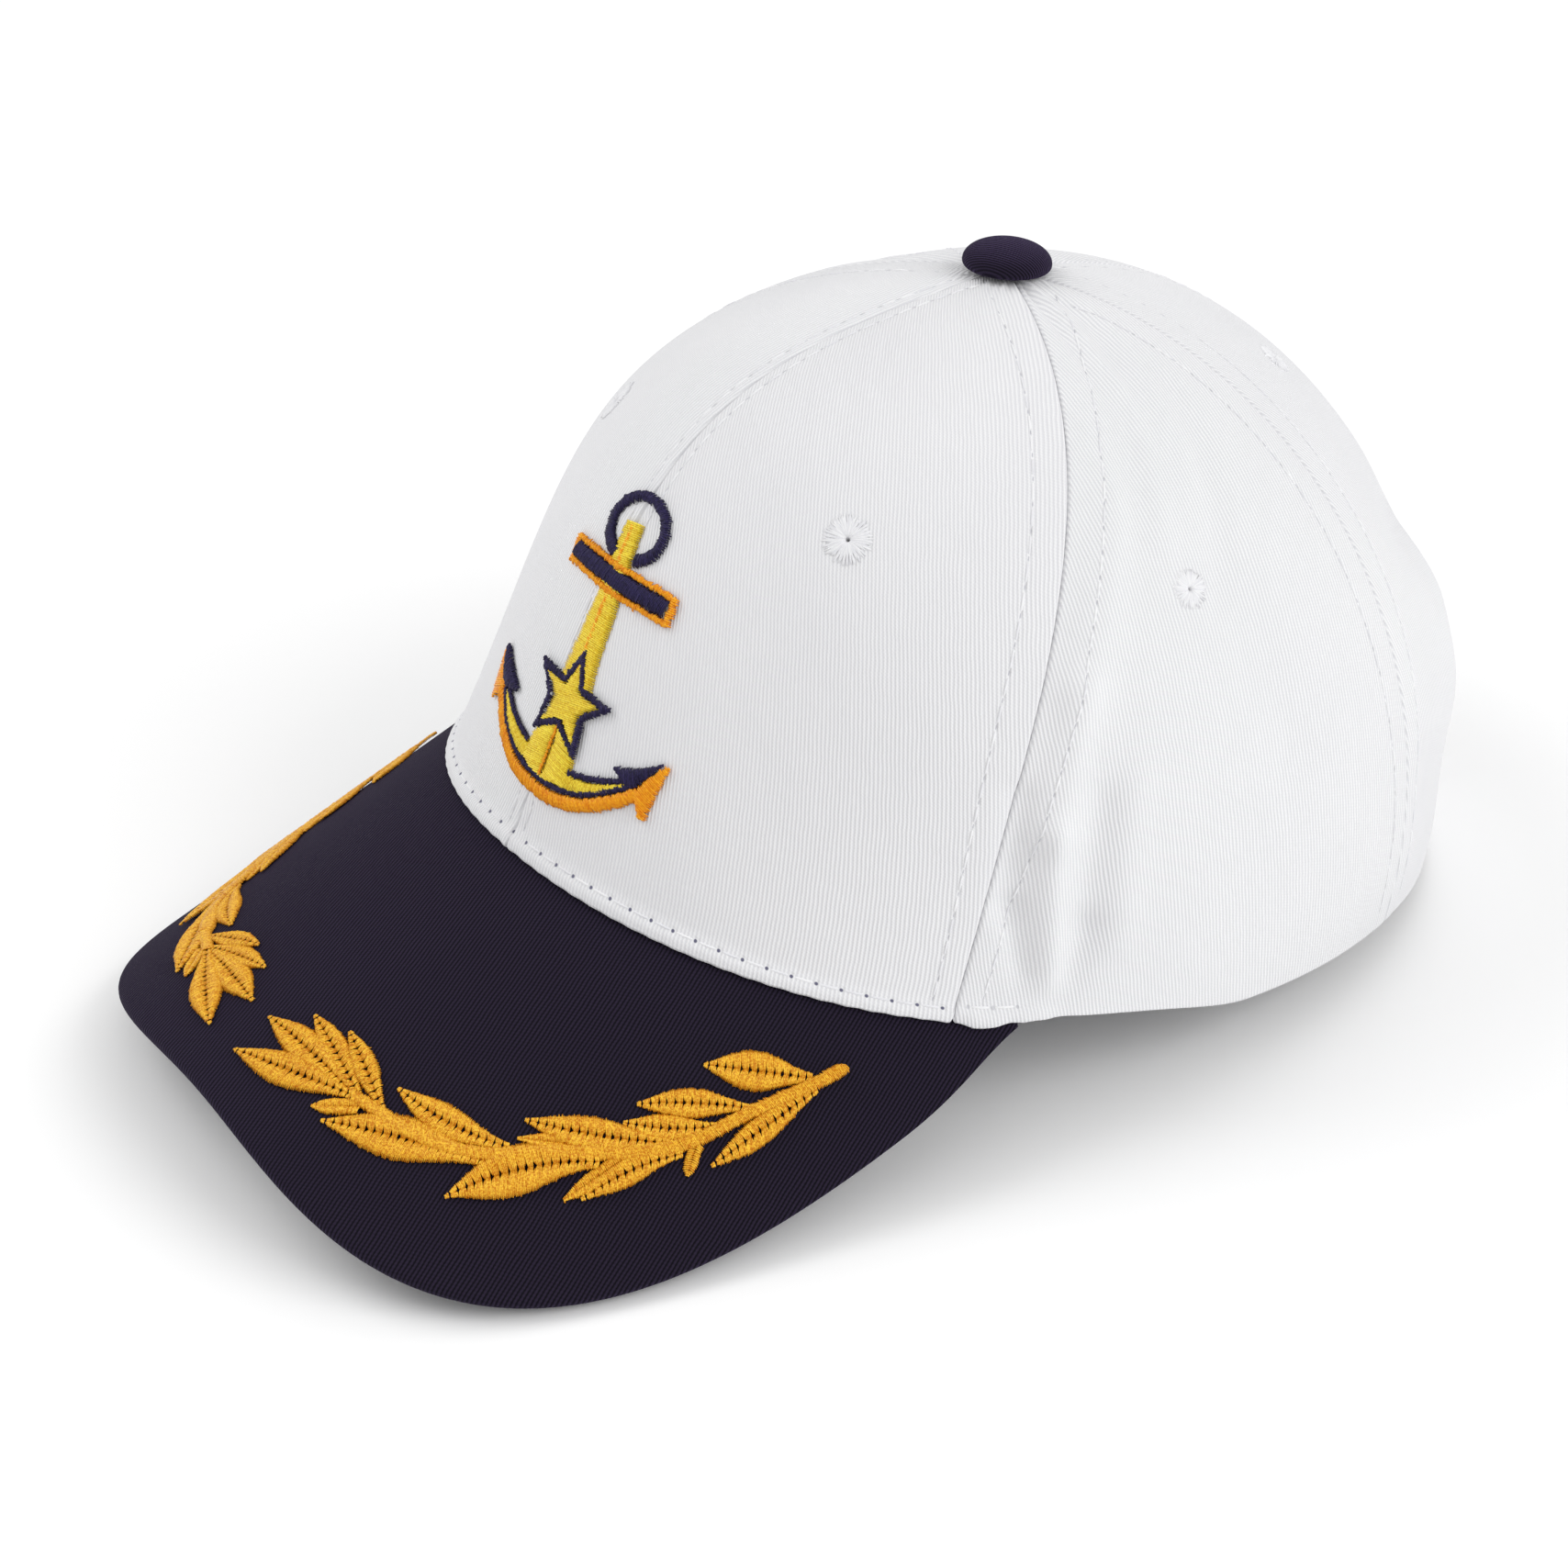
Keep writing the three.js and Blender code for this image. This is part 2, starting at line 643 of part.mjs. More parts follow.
// One tab of the closure strap, inside the rim on its own side and lapping over the centre. The inner
// tab steps inward to lie behind the outer one, in a short slope before the lap.
function strapTab(side, inner) {
  const columns = 14;
  const rows = 3;
  const panelEnd = 180 - deg((archHalfWidth + strapTuck) / crownBack);
  const freeEnd = 180 + deg(strapLap / crownBack);
  const outside = -(softWall + restGap);
  const behind = outside - (strapThickness + restGap);
  const stepTurn = (run) => 180 - deg((strapLap + run) / crownBack);
  const face = (depth) => (i, j) => {
    const along = lerp(panelEnd, freeEnd, i / columns);
    const step = smooth(along, stepTurn(14), stepTurn(2));
    const lift = lerp(outside, behind, inner ? step : 0) - depth;
    const up = (j / rows) * shareAtHeight(180, strapHeight);
    return j === 0 ? hemPoint(side * along, lift, 0) : crownPoint(side * along, up, lift, 0);
  };
  return wallBody(columns, rows, face(0), face(strapThickness));
}

// The covered button: a dome with a turned-under edge on a shank through the crown
function buttonBody() {
  const profile = new THREE.Path();
  profile.moveTo(0, -shankLength);
  profile.lineTo(shankRadius, -shankLength);
  profile.lineTo(shankRadius, restGap);
  profile.lineTo(buttonRadius - buttonEdge, restGap);
  profile.quadraticCurveTo(buttonRadius, restGap, buttonRadius, restGap + buttonEdge);
  const shoulder = new THREE.Vector2(buttonRadius, buttonHeight * 0.72);
  profile.bezierCurveTo(shoulder.x, shoulder.y, buttonRadius * 0.55, buttonHeight, 0, buttonHeight);
  const geometry = new THREE.LatheGeometry(profile.getPoints(4), 20);
  return toGeometry(toSolid(geometry.rotateX(Math.PI / 2).translate(0, apexSetback, crownHeight)));
}

// A sewn eyelet: a low ring of thread round its hole
function eyeletBody(turn, up) {
  const profile = [
    new THREE.Vector2(eyeletHole, 0),
    new THREE.Vector2(eyeletRadius, 0),
    new THREE.Vector2(eyeletRadius - 0.5, eyeletHeight * 0.6),
    new THREE.Vector2(eyeletHole + 0.6, eyeletHeight),
    new THREE.Vector2(eyeletHole, 0),
  ];
  const ring = toGeometry(toSolid(new THREE.LatheGeometry(profile, 12).rotateX(Math.PI / 2)));
  return placeOnCrown(ring, turn, up, restGap);
}

// Walks along a line on the crown until it is as long as asked
function walk(length, point, step, limit) {
  let place = 0;
  let passed = 0;
  let last = point(0);
  while (Math.abs(place) < limit) {
    const next = point(place + step);
    const piece = next.distanceTo(last);
    if (passed + piece >= Math.abs(length)) return place + (step * (Math.abs(length) - passed)) / piece;
    passed += piece;
    place += step;
    last = next;
  }
  return place;
}

// A point off the front of the crown, across from the centre seam and up from the rim
function frontPoint(across, up, lift) {
  const share = walk(up, (t) => smoothCrown(0, t), 0.01, 0.95);
  const turn = walk(across, (a) => smoothCrown(a, share), across < 0 ? -1 : 1, 60);
  return crownPoint(turn, share, lift);
}

// A point off the visor, across along its bend and forward along its slope
function laurelPoint(across, along, lift) {
  const x = visorBend * Math.sin(across / visorBend);
  return visorPoint(x, -crownFront - along * Math.cos(rad(visorSlope)), lift);
}

// A satin column: a tapered strip that follows a path over the cloth, narrower at its upper face
function satinColumn(path, surface, height) {
  const sideAt = (k) => {
    const before = path[Math.max(k - 1, 0)];
    const after = path[Math.min(k + 1, path.length - 1)];
    const length = Math.hypot(after.x - before.x, after.y - before.y);
    return { x: -(after.y - before.y) / length, y: (after.x - before.x) / length };
  };
  const face = (lift, bevel) => (i, j) => {
    const { x, y, width } = path[i];
    const side = sideAt(i);
    const half = (width / 2 - Math.min(bevel, width / 4)) * (1 - 2 * j);
    return surface(x + side.x * half, y + side.y * half, lift);
  };
  return wallBody(path.length - 1, 1, face(restGap + height, 0.25), face(restGap, 0));
}

function fused(bodies) {
  return toGeometry(bodies.map(toSolid).reduce((sum, solid) => sum.add(solid)));
}

// The anchor on the front: shank, stock, ring, star, crown, arms and flukes in one embroidery
function anchorBody() {
  const surface = (x, y, lift) => frontPoint(anchorOffset + x, anchorBase + y, lift);
  const scaled = ({ across, up, width }) => ({
    x: across * anchorHeight,
    y: up * anchorHeight,
    width: width * anchorHeight,
  });
  const bodies = ANCHOR_COLUMNS.map(({ path, relief: share }) =>
    satinColumn(path.map(scaled), surface, threadRelief * share));
  const ring = [];
  for (let k = 0; k <= 18; k += 1) {
    const bearing = rad(lerp(ANCHOR_RING.from, ANCHOR_RING.to, k / 18));
    const across = ANCHOR_RING.across + ANCHOR_RING.wide * Math.cos(bearing);
    const up = ANCHOR_RING.up + ANCHOR_RING.tall * Math.sin(bearing);
    ring.push(scaled({ across, up, width: ANCHOR_RING.width }));
  }
  bodies.push(satinColumn(ring, surface, threadRelief * 0.88));
  STAR.tips.forEach((tip, k) => {
    const spike = [0, 0.5, 1].map((share) => scaled({
      across: lerp(STAR.across, tip.across, share),
      up: lerp(STAR.up, tip.up, share),
      width: lerp(STAR.width, 0.008, share),
    }));
    bodies.push(satinColumn(spike, surface, threadRelief * (1.1 + 0.02 * k)));
  });
  return fused(bodies);
}

// A laurel spray on one half of the visor: a stem with its leaves in one embroidery. The pair lies a
// little to the wearer's right, so each spray starts at its own distance from the centre.
function laurelBody(side, start) {
  const surface = (x, y, lift) => laurelPoint(side * x, y, lift);
  const onVisor = ({ across, along }) => ({ x: lerp(start, visorHalfArc, across), y: along * visorLength });
  const bodies = LEAVES.map((leaf, k) => {
    const tip = onVisor({ across: leaf.tipAcross, along: leaf.tipAlong });
    const base = onVisor({ across: leaf.baseAcross, along: leaf.baseAlong });
    const run = { x: base.x - tip.x, y: base.y - tip.y };
    const path = [0, 0.18, 0.45, 0.75, 1].map((share) => {
      const bow = 4 * share * (1 - share) * leaf.bow;
      return {
        x: tip.x + share * run.x - bow * run.y,
        y: tip.y + share * run.y + bow * run.x,
        width: leafWidth * leaf.width * (0.14 + 0.86 * Math.sin(Math.PI * share ** 0.85)),
      };
    });
    return satinColumn(path, surface, threadRelief * (0.86 + 0.02 * (k % 6)));
  });
  const stem = STEM.map((place, k) => ({ ...onVisor(place), width: stemWidth * (k < 2 ? 0.9 : 1) }));
  bodies.push(satinColumn(stem, surface, threadRelief * 1.06));
  return fused(bodies);
}

function cloth(color) {
  return new THREE.MeshStandardMaterial({ color, roughness: 0.9, metalness: 0 });
}

function addPiece(group, name, geometry, material) {
  const mesh = new THREE.Mesh(geometry, material);
  mesh.name = name;
  group.add(mesh);
}

const white = cloth(WHITE);
const navy = cloth(NAVY);
const gold = new THREE.MeshStandardMaterial({ color: GOLD, roughness: 0.5, metalness: 0 });
const yellow = new THREE.MeshStandardMaterial({ color: YELLOW, roughness: 0.5, metalness: 0 });

const cap = new THREE.Group();
const centreSeam = { rim: 0, top: 0 };
for (const [side, label] of [[1, 'left'], [-1, 'right']]) {
  const [front, middle, back] = EYELETS.map(({ turn, up }) => ({ turn: side * turn, up }));
  const frontPanel = gorePanel(side, centreSeam, frontSeam, 10, frontWall);
  const sidePanel = gorePanel(side, frontSeam, backSeam, 12, softWall);
  addPiece(cap, `front_panel_${label}`, pierced(frontPanel, [front]), white);
  addPiece(cap, `side_panel_${label}`, pierced(sidePanel, [middle]), white);
  addPiece(cap, `back_panel_${label}`, pierced(backPanel(side), [back]), white);
  for (const { name, turn, up } of EYELETS) {
    addPiece(cap, `${name}_${label}`, eyeletBody(side * turn, up), white);
  }
  addPiece(cap, `strap_${label}`, strapTab(side, side < 0), white);
  addPiece(cap, `laurel_${label}`, laurelBody(side, laurelStart[label]), gold);
}
addPiece(cap, 'visor', visorBody(), navy);
addPiece(cap, 'top_button', buttonBody(), navy);
addPiece(cap, 'anchor_embroidery', anchorBody(), yellow);

// Tips the cap to its resting pose, with the middle of its outline over the origin on the floor
cap.rotation.x = -rest.tip;
cap.updateMatrixWorld(true);
const outline = new THREE.Box3().setFromObject(cap, true);
cap.position.set(0, -(outline.min.y + outline.max.y) / 2, -rest.floor);

const hat = new THREE.Group();
hat.add(cap);

export default hat;
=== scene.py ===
"""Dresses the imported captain's cap: shaped cloth panels, a stiffened visor, sewn threads, light and camera.

Lengths of the cap are millimetres on its own upright rim: the front is -Y, the wearer's left is +X and up
is +Z. A place on the crown is a turn round the rim in degrees, 0 at the centre front and 180 at the centre
back, and a share of the way up, 0 at the rim and 1 at the top. CapForm.settle tips such points back to
the resting pose and gives metres.
"""

from __future__ import annotations

import logging
import math
from dataclasses import dataclass, field
from enum import Enum
from typing import Callable, Optional, Sequence

import bmesh
import bpy
import numpy as np
from mathutils import Matrix, Vector


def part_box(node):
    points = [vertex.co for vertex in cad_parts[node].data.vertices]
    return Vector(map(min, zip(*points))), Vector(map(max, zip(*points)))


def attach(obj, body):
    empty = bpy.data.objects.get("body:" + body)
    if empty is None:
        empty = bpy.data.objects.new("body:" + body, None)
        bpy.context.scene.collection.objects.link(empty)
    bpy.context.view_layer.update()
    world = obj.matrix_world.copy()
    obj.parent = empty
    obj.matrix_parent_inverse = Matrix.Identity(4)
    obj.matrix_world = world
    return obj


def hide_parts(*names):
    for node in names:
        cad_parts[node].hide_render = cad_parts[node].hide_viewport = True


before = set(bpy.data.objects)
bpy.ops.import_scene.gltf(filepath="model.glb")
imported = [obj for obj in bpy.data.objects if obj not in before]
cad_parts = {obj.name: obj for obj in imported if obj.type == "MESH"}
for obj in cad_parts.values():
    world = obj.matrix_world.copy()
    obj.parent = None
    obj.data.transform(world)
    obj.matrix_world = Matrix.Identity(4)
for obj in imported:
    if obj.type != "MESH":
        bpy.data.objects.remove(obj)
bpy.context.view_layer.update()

log = logging.getLogger("cap")

Array = np.ndarray
Colour = tuple[float, float, float]
Surface = Callable[[Array, Array, Array], Array]
Line = Callable[[Array], tuple[Array, Array]]
Lengths = Callable[[Array, Array], tuple[Array, Array]]
MM = 0.001


def smooth(value: Array, low: float, high: float) -> Array:
    """Smooth step from 0 at low to 1 at high.

    Args:
        value: Numbers to ease.
        low: Where the step starts.
        high: Where the step ends.

    Returns:
        Shares from 0 to 1.
    """
    t = np.clip((value - low) / (high - low), 0.0, 1.0)
    return t * t * (3.0 - 2.0 * t)


def unit(vectors: Array) -> Array:
    """Vectors scaled to a length of one."""
    return vectors / np.maximum(np.linalg.norm(vectors, axis=-1, keepdims=True), 1e-12)


def bell(away: Array, spread: float) -> Array:
    """Bell curve of a distance, 1 where it is none."""
    return np.exp(-((away / spread) ** 2))


def squircle(x: Array, y: Array, power: float) -> Array:
    """Factor that brings a direction onto the rounded outline |x|^power + |y|^power = 1."""
    return (np.abs(x) ** power + np.abs(y) ** power) ** (-1 / power)


def graded(length: float, cell: float, near: Sequence[float], far: Optional[Sequence[float]] = None) -> Array:
    """Places of grid lines along a length, close together near its ends.

    Args:
        length: Whole length.
        cell: Spacing in the middle.
        near: Places near the start, from 0.
        far: Distances from the end, from 0; the same as near if left out.

    Returns:
        Rising places from 0 to length.
    """
    far = near if far is None else far
    count = max(1, round((length - near[-1] - far[-1]) / cell))
    middle = np.linspace(near[-1], length - far[-1], count + 1)
    return np.concatenate([near[:-1], middle, length - np.array(far[-2::-1])])


class Side(Enum):
    """A half of the cap, as the sign of its X."""

    LEFT = 1
    RIGHT = -1

    @property
    def label(self) -> str:
        """The half's word in the names of pieces."""
        return self.name.lower()


@dataclass(frozen=True)
class Profile:
    """The crown's upright profile at one turn: its leans in degrees and the shares of its handles."""

    turn: float
    lean: float
    rise: float
    crest: float
    reach: float


@dataclass(frozen=True)
class Fold:
    """A soft fold or dent along a line between two places on the left half."""

    turn: float
    up: float
    to_turn: float
    to_up: float
    spread: float
    lift: float
    far: float


@dataclass(frozen=True)
class Seam:
    """A seam from the rim to the top, with its turn at each end."""

    rim: float
    top: float

    def turn(self, up: Array) -> Array:
        """Turn of the seam at a share of the way up."""
        return self.rim + (self.top - self.rim) * up


CENTRE_SEAM = Seam(0.0, 0.0)
FRONT_SEAM = Seam(51.7, 69.9)
BACK_SEAM = Seam(117.1, 122.3)

PROFILES = (
    Profile(0, -20.4, 0.82, 6.0, 0.71),
    Profile(60, -17.8, 0.46, 5.6, 0.93),
    Profile(120, 6.7, 0.54, 1.2, 0.6),
    Profile(180, -2.2, 0.42, 0.2, 0.76),
)

# The large folds first, then the fine creases that run between them
FOLDS = (
    Fold(72, 0.66, 64.5, 0.42, 3.6, 1.1, 0.6),
    Fold(64.5, 0.42, 61.6, 0.24, 2.8, 1.7, 0.6),
    Fold(61.6, 0.24, 62, 0.05, 2.0, 2.1, 0.6),
    Fold(57.4, 0.28, 56.8, 0.14, 1.9, -1.0, 0.6),
    Fold(57.2, 0.14, 59.3, 0.06, 1.7, -1.2, 0.6),
    Fold(67.6, 0.28, 66.4, 0.12, 2.3, -1.1, 0.4),
    Fold(66.4, 0.12, 63.6, 0.02, 2.0, -1.4, 0.4),
    Fold(72, 0.3, 70.5, 0.1, 2.8, 0.6, 0.4),
    Fold(96, 0.88, 79, 0.7, 5, -0.9, 1),
    Fold(76, 0.95, 79, 0.8, 2.4, -0.6, 0.6),
    Fold(84, 0.95, 86, 0.8, 2.2, 0.5, 0.6),
    Fold(86, 0.78, 80, 0.6, 3, 0.6, 0.8),
    Fold(92, 0.5, 96, 0.3, 5, -0.6, 0.8),
    Fold(101, 0.74, 89, 0.53, 3.5, -0.6, 1),
    Fold(143, 0.31, 142, 0.24, 8, 3.0, 1),
    Fold(138, 0.43, 150, 0.44, 4, -1.2, 1),
    Fold(127, 0.14, 134, 0.12, 5, -1.5, 1),
)


@dataclass
class CapForm:
    """The cap's outer shape, from the same named sizes as its solids."""

    half_width: float = 86.8
    front: float = 101.4
    back: float = 100.5
    height: float = 107.1
    roundness: float = 2.07
    apex_setback: float = 1.9
    back_dip: float = 2.3
    front_wall: float = 1.8
    soft_wall: float = 1.3
    rest_gap: float = 0.3
    visor_length: float = 68.0
    visor_thickness: float = 3.0
    visor_rise: float = 15.1
    visor_slope: float = 23.9
    visor_bend: float = 104.7
    visor_half_turn: float = 59.0
    visor_flare: float = 2.3
    visor_corners: float = 3.3
    visor_tuck: float = 4.5
    side_ease: float = 31.0
    arch_half_width: float = 42.0
    arch_height: float = 64.0
    arch_roundness: float = 2.3
    button_hole: float = 3.0

    def __post_init__(self) -> None:
        names = ("lean", "rise", "crest", "reach")
        columns = {name: [getattr(row, name) for row in PROFILES] for name in names}
        self.series = {name: self._cosine_series(values) for name, values in columns.items()}
        self.tip, self.floor = self._resting_pose()
        edge = self.visor_edge(np.array(0.0))
        lip = np.stack([self.visor_point(edge[0], edge[1], lift) for lift in (0.0, -self.visor_thickness)])
        forward = lip[:, 1] * math.cos(self.tip) + lip[:, 2] * math.sin(self.tip)
        self.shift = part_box("visor")[0].y / MM - float(forward.min())
        self.turns = np.arange(0.0, 180.5, 0.5)
        self.tops = self._top_shares(self.turns)
        self.shares = np.linspace(0.0, 1.0, 401)
        self.rim_arc = self._arc(self.smooth_crown(self.turns, np.zeros_like(self.turns)))
        self.front_turns = np.linspace(0.0, 62.0, 125)
        self.front_shares = np.linspace(0.0, 0.9, 91)
        grid = self.smooth_crown(self.front_turns[None, :], self.front_shares[:, None])
        self.front_arcs = np.stack([self._arc(row) for row in grid])

    @staticmethod
    def _cosine_series(values: Sequence[float]) -> Array:
        """Coefficients of the even cosine series through values at turns 0, 60, 120 and 180.

        Args:
            values: The values at the four turns.

        Returns:
            The four coefficients.
        """
        a, b, c, d = values
        even = (a + 2 * b + 2 * c + d, 2 * (a + b - c - d), 2 * (a - b - c + d), a - 2 * b + 2 * c - d)
        return np.array(even) / 6

    @staticmethod
    def _arc(points: Array) -> Array:
        """Length passed along a line of points, from 0."""
        return np.concatenate([[0.0], np.cumsum(np.linalg.norm(np.diff(points, axis=0), axis=1))])

    def around(self, name: str, turn: Array) -> Array:
        """One value of the profile at a turn."""
        return sum(value * np.cos(k * np.radians(turn)) for k, value in enumerate(self.series[name]))

    def visor_height(self, x: Array, y: Array) -> Array:
        """Height of the visor's upper face over a place in front of the crown's middle line.

        Args:
            x: Millimetres across.
            y: Millimetres back.

        Returns:
            The height in millimetres on the upright cap.
        """
        reach = np.minimum(np.abs(x), 0.98 * self.visor_bend)
        fall = self.visor_bend - np.sqrt(self.visor_bend**2 - reach**2)
        return self.visor_rise - math.tan(math.radians(self.visor_slope)) * (-y - self.front) - fall

    def rim_outline(self, turn: Array) -> tuple[Array, Array]:
        """The rim's outline seen from above.

        Args:
            turn: Turn in degrees, 0 in front and positive on the left.

        Returns:
            Millimetres across and back.
        """
        s, c = np.sin(np.radians(turn)), np.cos(np.radians(turn))
        depth = np.where(c > 0, self.front, self.back)
        radius = squircle(s / self.half_width, c / depth, self.roundness)
        return radius * s, -radius * c

    def free_rim_height(self, x: Array, y: Array, turn: Array) -> Array:
        """The rim's height before the cloth settles: on the visor in front, easing to a low back.

        Args:
            x: Millimetres across.
            y: Millimetres back.
            turn: Turn in degrees, 0 in front and positive on the left.

        Returns:
            The height in millimetres on the upright cap.
        """
        start = self.visor_half_turn
        on_visor = 1 - smooth(np.abs(turn), start - 1, start + self.side_ease)
        back = -self.back_dip * (1 - np.cos(np.radians(turn))) / 2
        return on_visor * (self.visor_height(x, y) + self.rest_gap) + (1 - on_visor) * back

    def visor_edge(self, share: Array) -> tuple[Array, Array]:
        """The visor's outer edge, for an edge share from -1 at the right end to 1 at the left end.

        Args:
            share: The edge share.

        Returns:
            Millimetres across and back.
        """
        end_x, end_y = self.rim_outline(np.array(self.visor_half_turn))
        length = self.front + self.visor_length * math.cos(math.radians(self.visor_slope)) + end_y
        s, c = np.sin(share * np.pi / 2), np.cos(share * np.pi / 2)
        radius = squircle(s, c, self.visor_corners)
        return (end_x + self.visor_flare) * radius * s, end_y - length * radius * c

    def visor_point(self, x: Array, y: Array, lift: Array) -> Array:
        """A point off the visor's upper face, lifted along its normal.

        Args:
            x: Millimetres across.
            y: Millimetres back.
            lift: Distance off the face.

        Returns:
            The place in millimetres on the upright cap.
        """
        x, y, lift = np.broadcast_arrays(np.asarray(x, float), np.asarray(y, float), np.asarray(lift, float))
        slope = x / np.sqrt(self.visor_bend**2 - x**2)
        fall = np.full_like(x, -math.tan(math.radians(self.visor_slope)))
        normal = unit(np.stack([slope, fall, np.ones_like(x)], -1))
        return np.stack([x, y, self.visor_height(x, y)], -1) + lift[..., None] * normal

    def _resting_pose(self) -> tuple[float, float]:
        """Tips the cap until the visor's corners and the back rim are equally low.

        Returns:
            The tip in radians and the height of the floor on the tipped cap.
        """
        share = np.linspace(0.0, 1.0, 61)
        front = self.visor_point(*self.visor_edge(share), -self.visor_thickness)
        turn = 90 + 90 * share
        x, y = self.rim_outline(turn)
        back = np.stack([x, y, self.free_rim_height(x, y, turn)], -1)

        def lowest(points: Array, tip: float) -> float:
            """Lowest height of some points at a tip."""
            return float((points[:, 2] * math.cos(tip) - points[:, 1] * math.sin(tip)).min())

        low, high = 0.0, math.radians(30)
        for _ in range(40):
            tip = (low + high) / 2
            if lowest(front, tip) < lowest(back, tip):
                low = tip
            else:
                high = tip
        return high, lowest(back, high)

    def floor_height(self, y: Array) -> Array:
        """Height of the resting surface in the cap's own upright frame."""
        return (self.floor + y * math.sin(self.tip)) / math.cos(self.tip)

    def rim_height(self, x: Array, y: Array, turn: Array) -> Array:
        """The rim's height once the cloth at the back has settled flat.

        Args:
            x: Millimetres across.
            y: Millimetres back.
            turn: Turn in degrees, 0 in front and positive on the left.

        Returns:
            The height in millimetres on the upright cap.
        """
        foot = 180 - math.degrees(self.arch_half_width / self.back)
        settled = smooth(np.abs(turn), BACK_SEAM.rim, foot)
        return self.free_rim_height(x, y, turn) * (1 - settled) + self.floor_height(y) * settled

    def relief(self, turn: Array, up: Array) -> Array:
        """Outward relief of the folds and dents, in millimetres.

        Args:
            turn: Turn in degrees, 0 in front and positive on the left.
            up: Share of the way up.

        Returns:
            The relief, positive outward.
        """
        side = np.abs(turn)
        degrees_up = math.degrees(1.35 * self.height / self.half_width)
        total = np.zeros(np.broadcast(turn, up).shape)
        for fold in FOLDS:
            run_x, run_y = fold.to_turn - fold.turn, (fold.to_up - fold.up) * degrees_up
            from_x, from_y = side - fold.turn, (up - fold.up) * degrees_up
            share = np.clip((from_x * run_x + from_y * run_y) / (run_x**2 + run_y**2), 0, 1)
            away = np.hypot(from_x - share * run_x, from_y - share * run_y)
            total = total + fold.lift * np.where(turn < 0, fold.far, 1.0) * bell(away, fold.spread)
        return total * (0.2 + 0.8 * smooth(up, 0.0, 0.09))

    def smooth_crown(self, turn: Array, up: Array) -> Array:
        """The crown's smooth outer face.

        Args:
            turn: Turn in degrees, 0 in front and positive on the left.
            up: Share of the way up.

        Returns:
            The place in millimetres on the upright cap.
        """
        turn, up = np.broadcast_arrays(np.asarray(turn, float), np.asarray(up, float))
        x, y = self.rim_outline(turn)
        z = self.rim_height(x, y, turn)
        dx, dy = x, y - self.apex_setback
        radius = np.hypot(dx, dy)
        lean = np.radians(self.around("lean", turn))
        crest = np.radians(self.around("crest", turn))
        rise = self.around("rise", turn) * (self.height - z)
        reach = self.around("reach", turn) * radius
        down = 1 - up
        first, second, third, last = down**3, 3 * down**2 * up, 3 * down * up**2, up**3
        out = first * radius + second * (radius + rise * np.sin(lean)) + third * reach * np.cos(crest)
        tall = first * z + second * (z + rise * np.cos(lean))
        tall = tall + third * (self.height - reach * np.sin(crest)) + last * self.height
        return np.stack([out * dx / radius, self.apex_setback + out * dy / radius, tall], -1)

    def crown_normal(self, turn: Array, up: Array) -> Array:
        """Outward normal of the smooth crown.

        Args:
            turn: Turn in degrees, 0 in front and positive on the left.
            up: Share of the way up.

        Returns:
            The unit normal.
        """
        degree, share = 0.5, 0.004
        low, high = np.maximum(up - share, 0.0), np.minimum(up + share, 1 - share)
        across = self.smooth_crown(turn + degree, up) - self.smooth_crown(turn - degree, up)
        along = self.smooth_crown(turn, high) - self.smooth_crown(turn, low)
        return unit(np.cross(across, along))

    def crown_point(self, turn: Array, up: Array, lift: Array, folded: float = 1.0) -> Array:
        """A point off the crown's outer face, with its folds, by a lift along the normal."""
        amount = lift + folded * self.relief(turn, up)
        return self.smooth_crown(turn, up) + amount[..., None] * self.crown_normal(turn, up)

    def _top_shares(self, turns: Array) -> Array:
        """Shares of the way up at which the crown closes in to the hole under the button.

        Args:
            turns: The turns in degrees.

        Returns:
            A share for each turn.
        """
        low, high = np.full_like(turns, 0.5), np.ones_like(turns)
        for _ in range(30):
            middle = (low + high) / 2
            point = self.smooth_crown(turns, middle)
            outside = np.hypot(point[..., 0], point[..., 1] - self.apex_setback) > self.button_hole
            low, high = np.where(outside, middle, low), np.where(outside, high, middle)
        return low

    def top_share(self, turn: Array) -> Array:
        """Share of the way up at which the crown ends at a turn."""
        return np.interp(np.abs(turn), self.turns, self.tops)

    def share_at_height(self, turn: float, height: float) -> float:
        """Share of the way up at a height over the floor."""
        points = self.smooth_crown(np.full(401, turn), self.shares)
        return float(np.interp(height, points[:, 2] - self.floor_height(points[:, 1]), self.shares))

    def radius(self, turn: Array, up: Array) -> Array:
        """Distance of the smooth crown from its upright axis."""
        point = self.smooth_crown(turn, up)
        return np.hypot(point[..., 0], point[..., 1] - self.apex_setback)

    def climb(self, turn: float) -> Array:
        """Length up the crown's profile at one turn, for every share in the table."""
        return self._arc(self.smooth_crown(np.full(401, turn), self.shares))

    def front_place(self, across: Array, up: Array) -> tuple[Array, Array]:
        """Turn and share of a place on the front.

        Args:
            across: Length across from the centre seam, at one share.
            up: Length up the centre seam from the rim.

        Returns:
            The turn in degrees and the share of the way up.
        """
        share = np.interp(up, self.climb(0.0), self.shares)
        place = np.clip(share / self.front_shares[-1] * 90, 0, 89.999)
        row = place.astype(int)
        part = (place - row)[..., None]
        arcs = self.front_arcs[row] * (1 - part) + self.front_arcs[row + 1] * part
        reach = np.abs(across)[..., None]
        after = np.clip((arcs < reach).sum(-1), 1, len(self.front_turns) - 1)
        before = after - 1
        low = np.take_along_axis(arcs, before[..., None], -1)[..., 0]
        high = np.take_along_axis(arcs, after[..., None], -1)[..., 0]
        step = (reach[..., 0] - low) / (high - low)
        turn = self.front_turns[before] + step * (self.front_turns[after] - self.front_turns[before])
        return np.sign(across) * turn, share

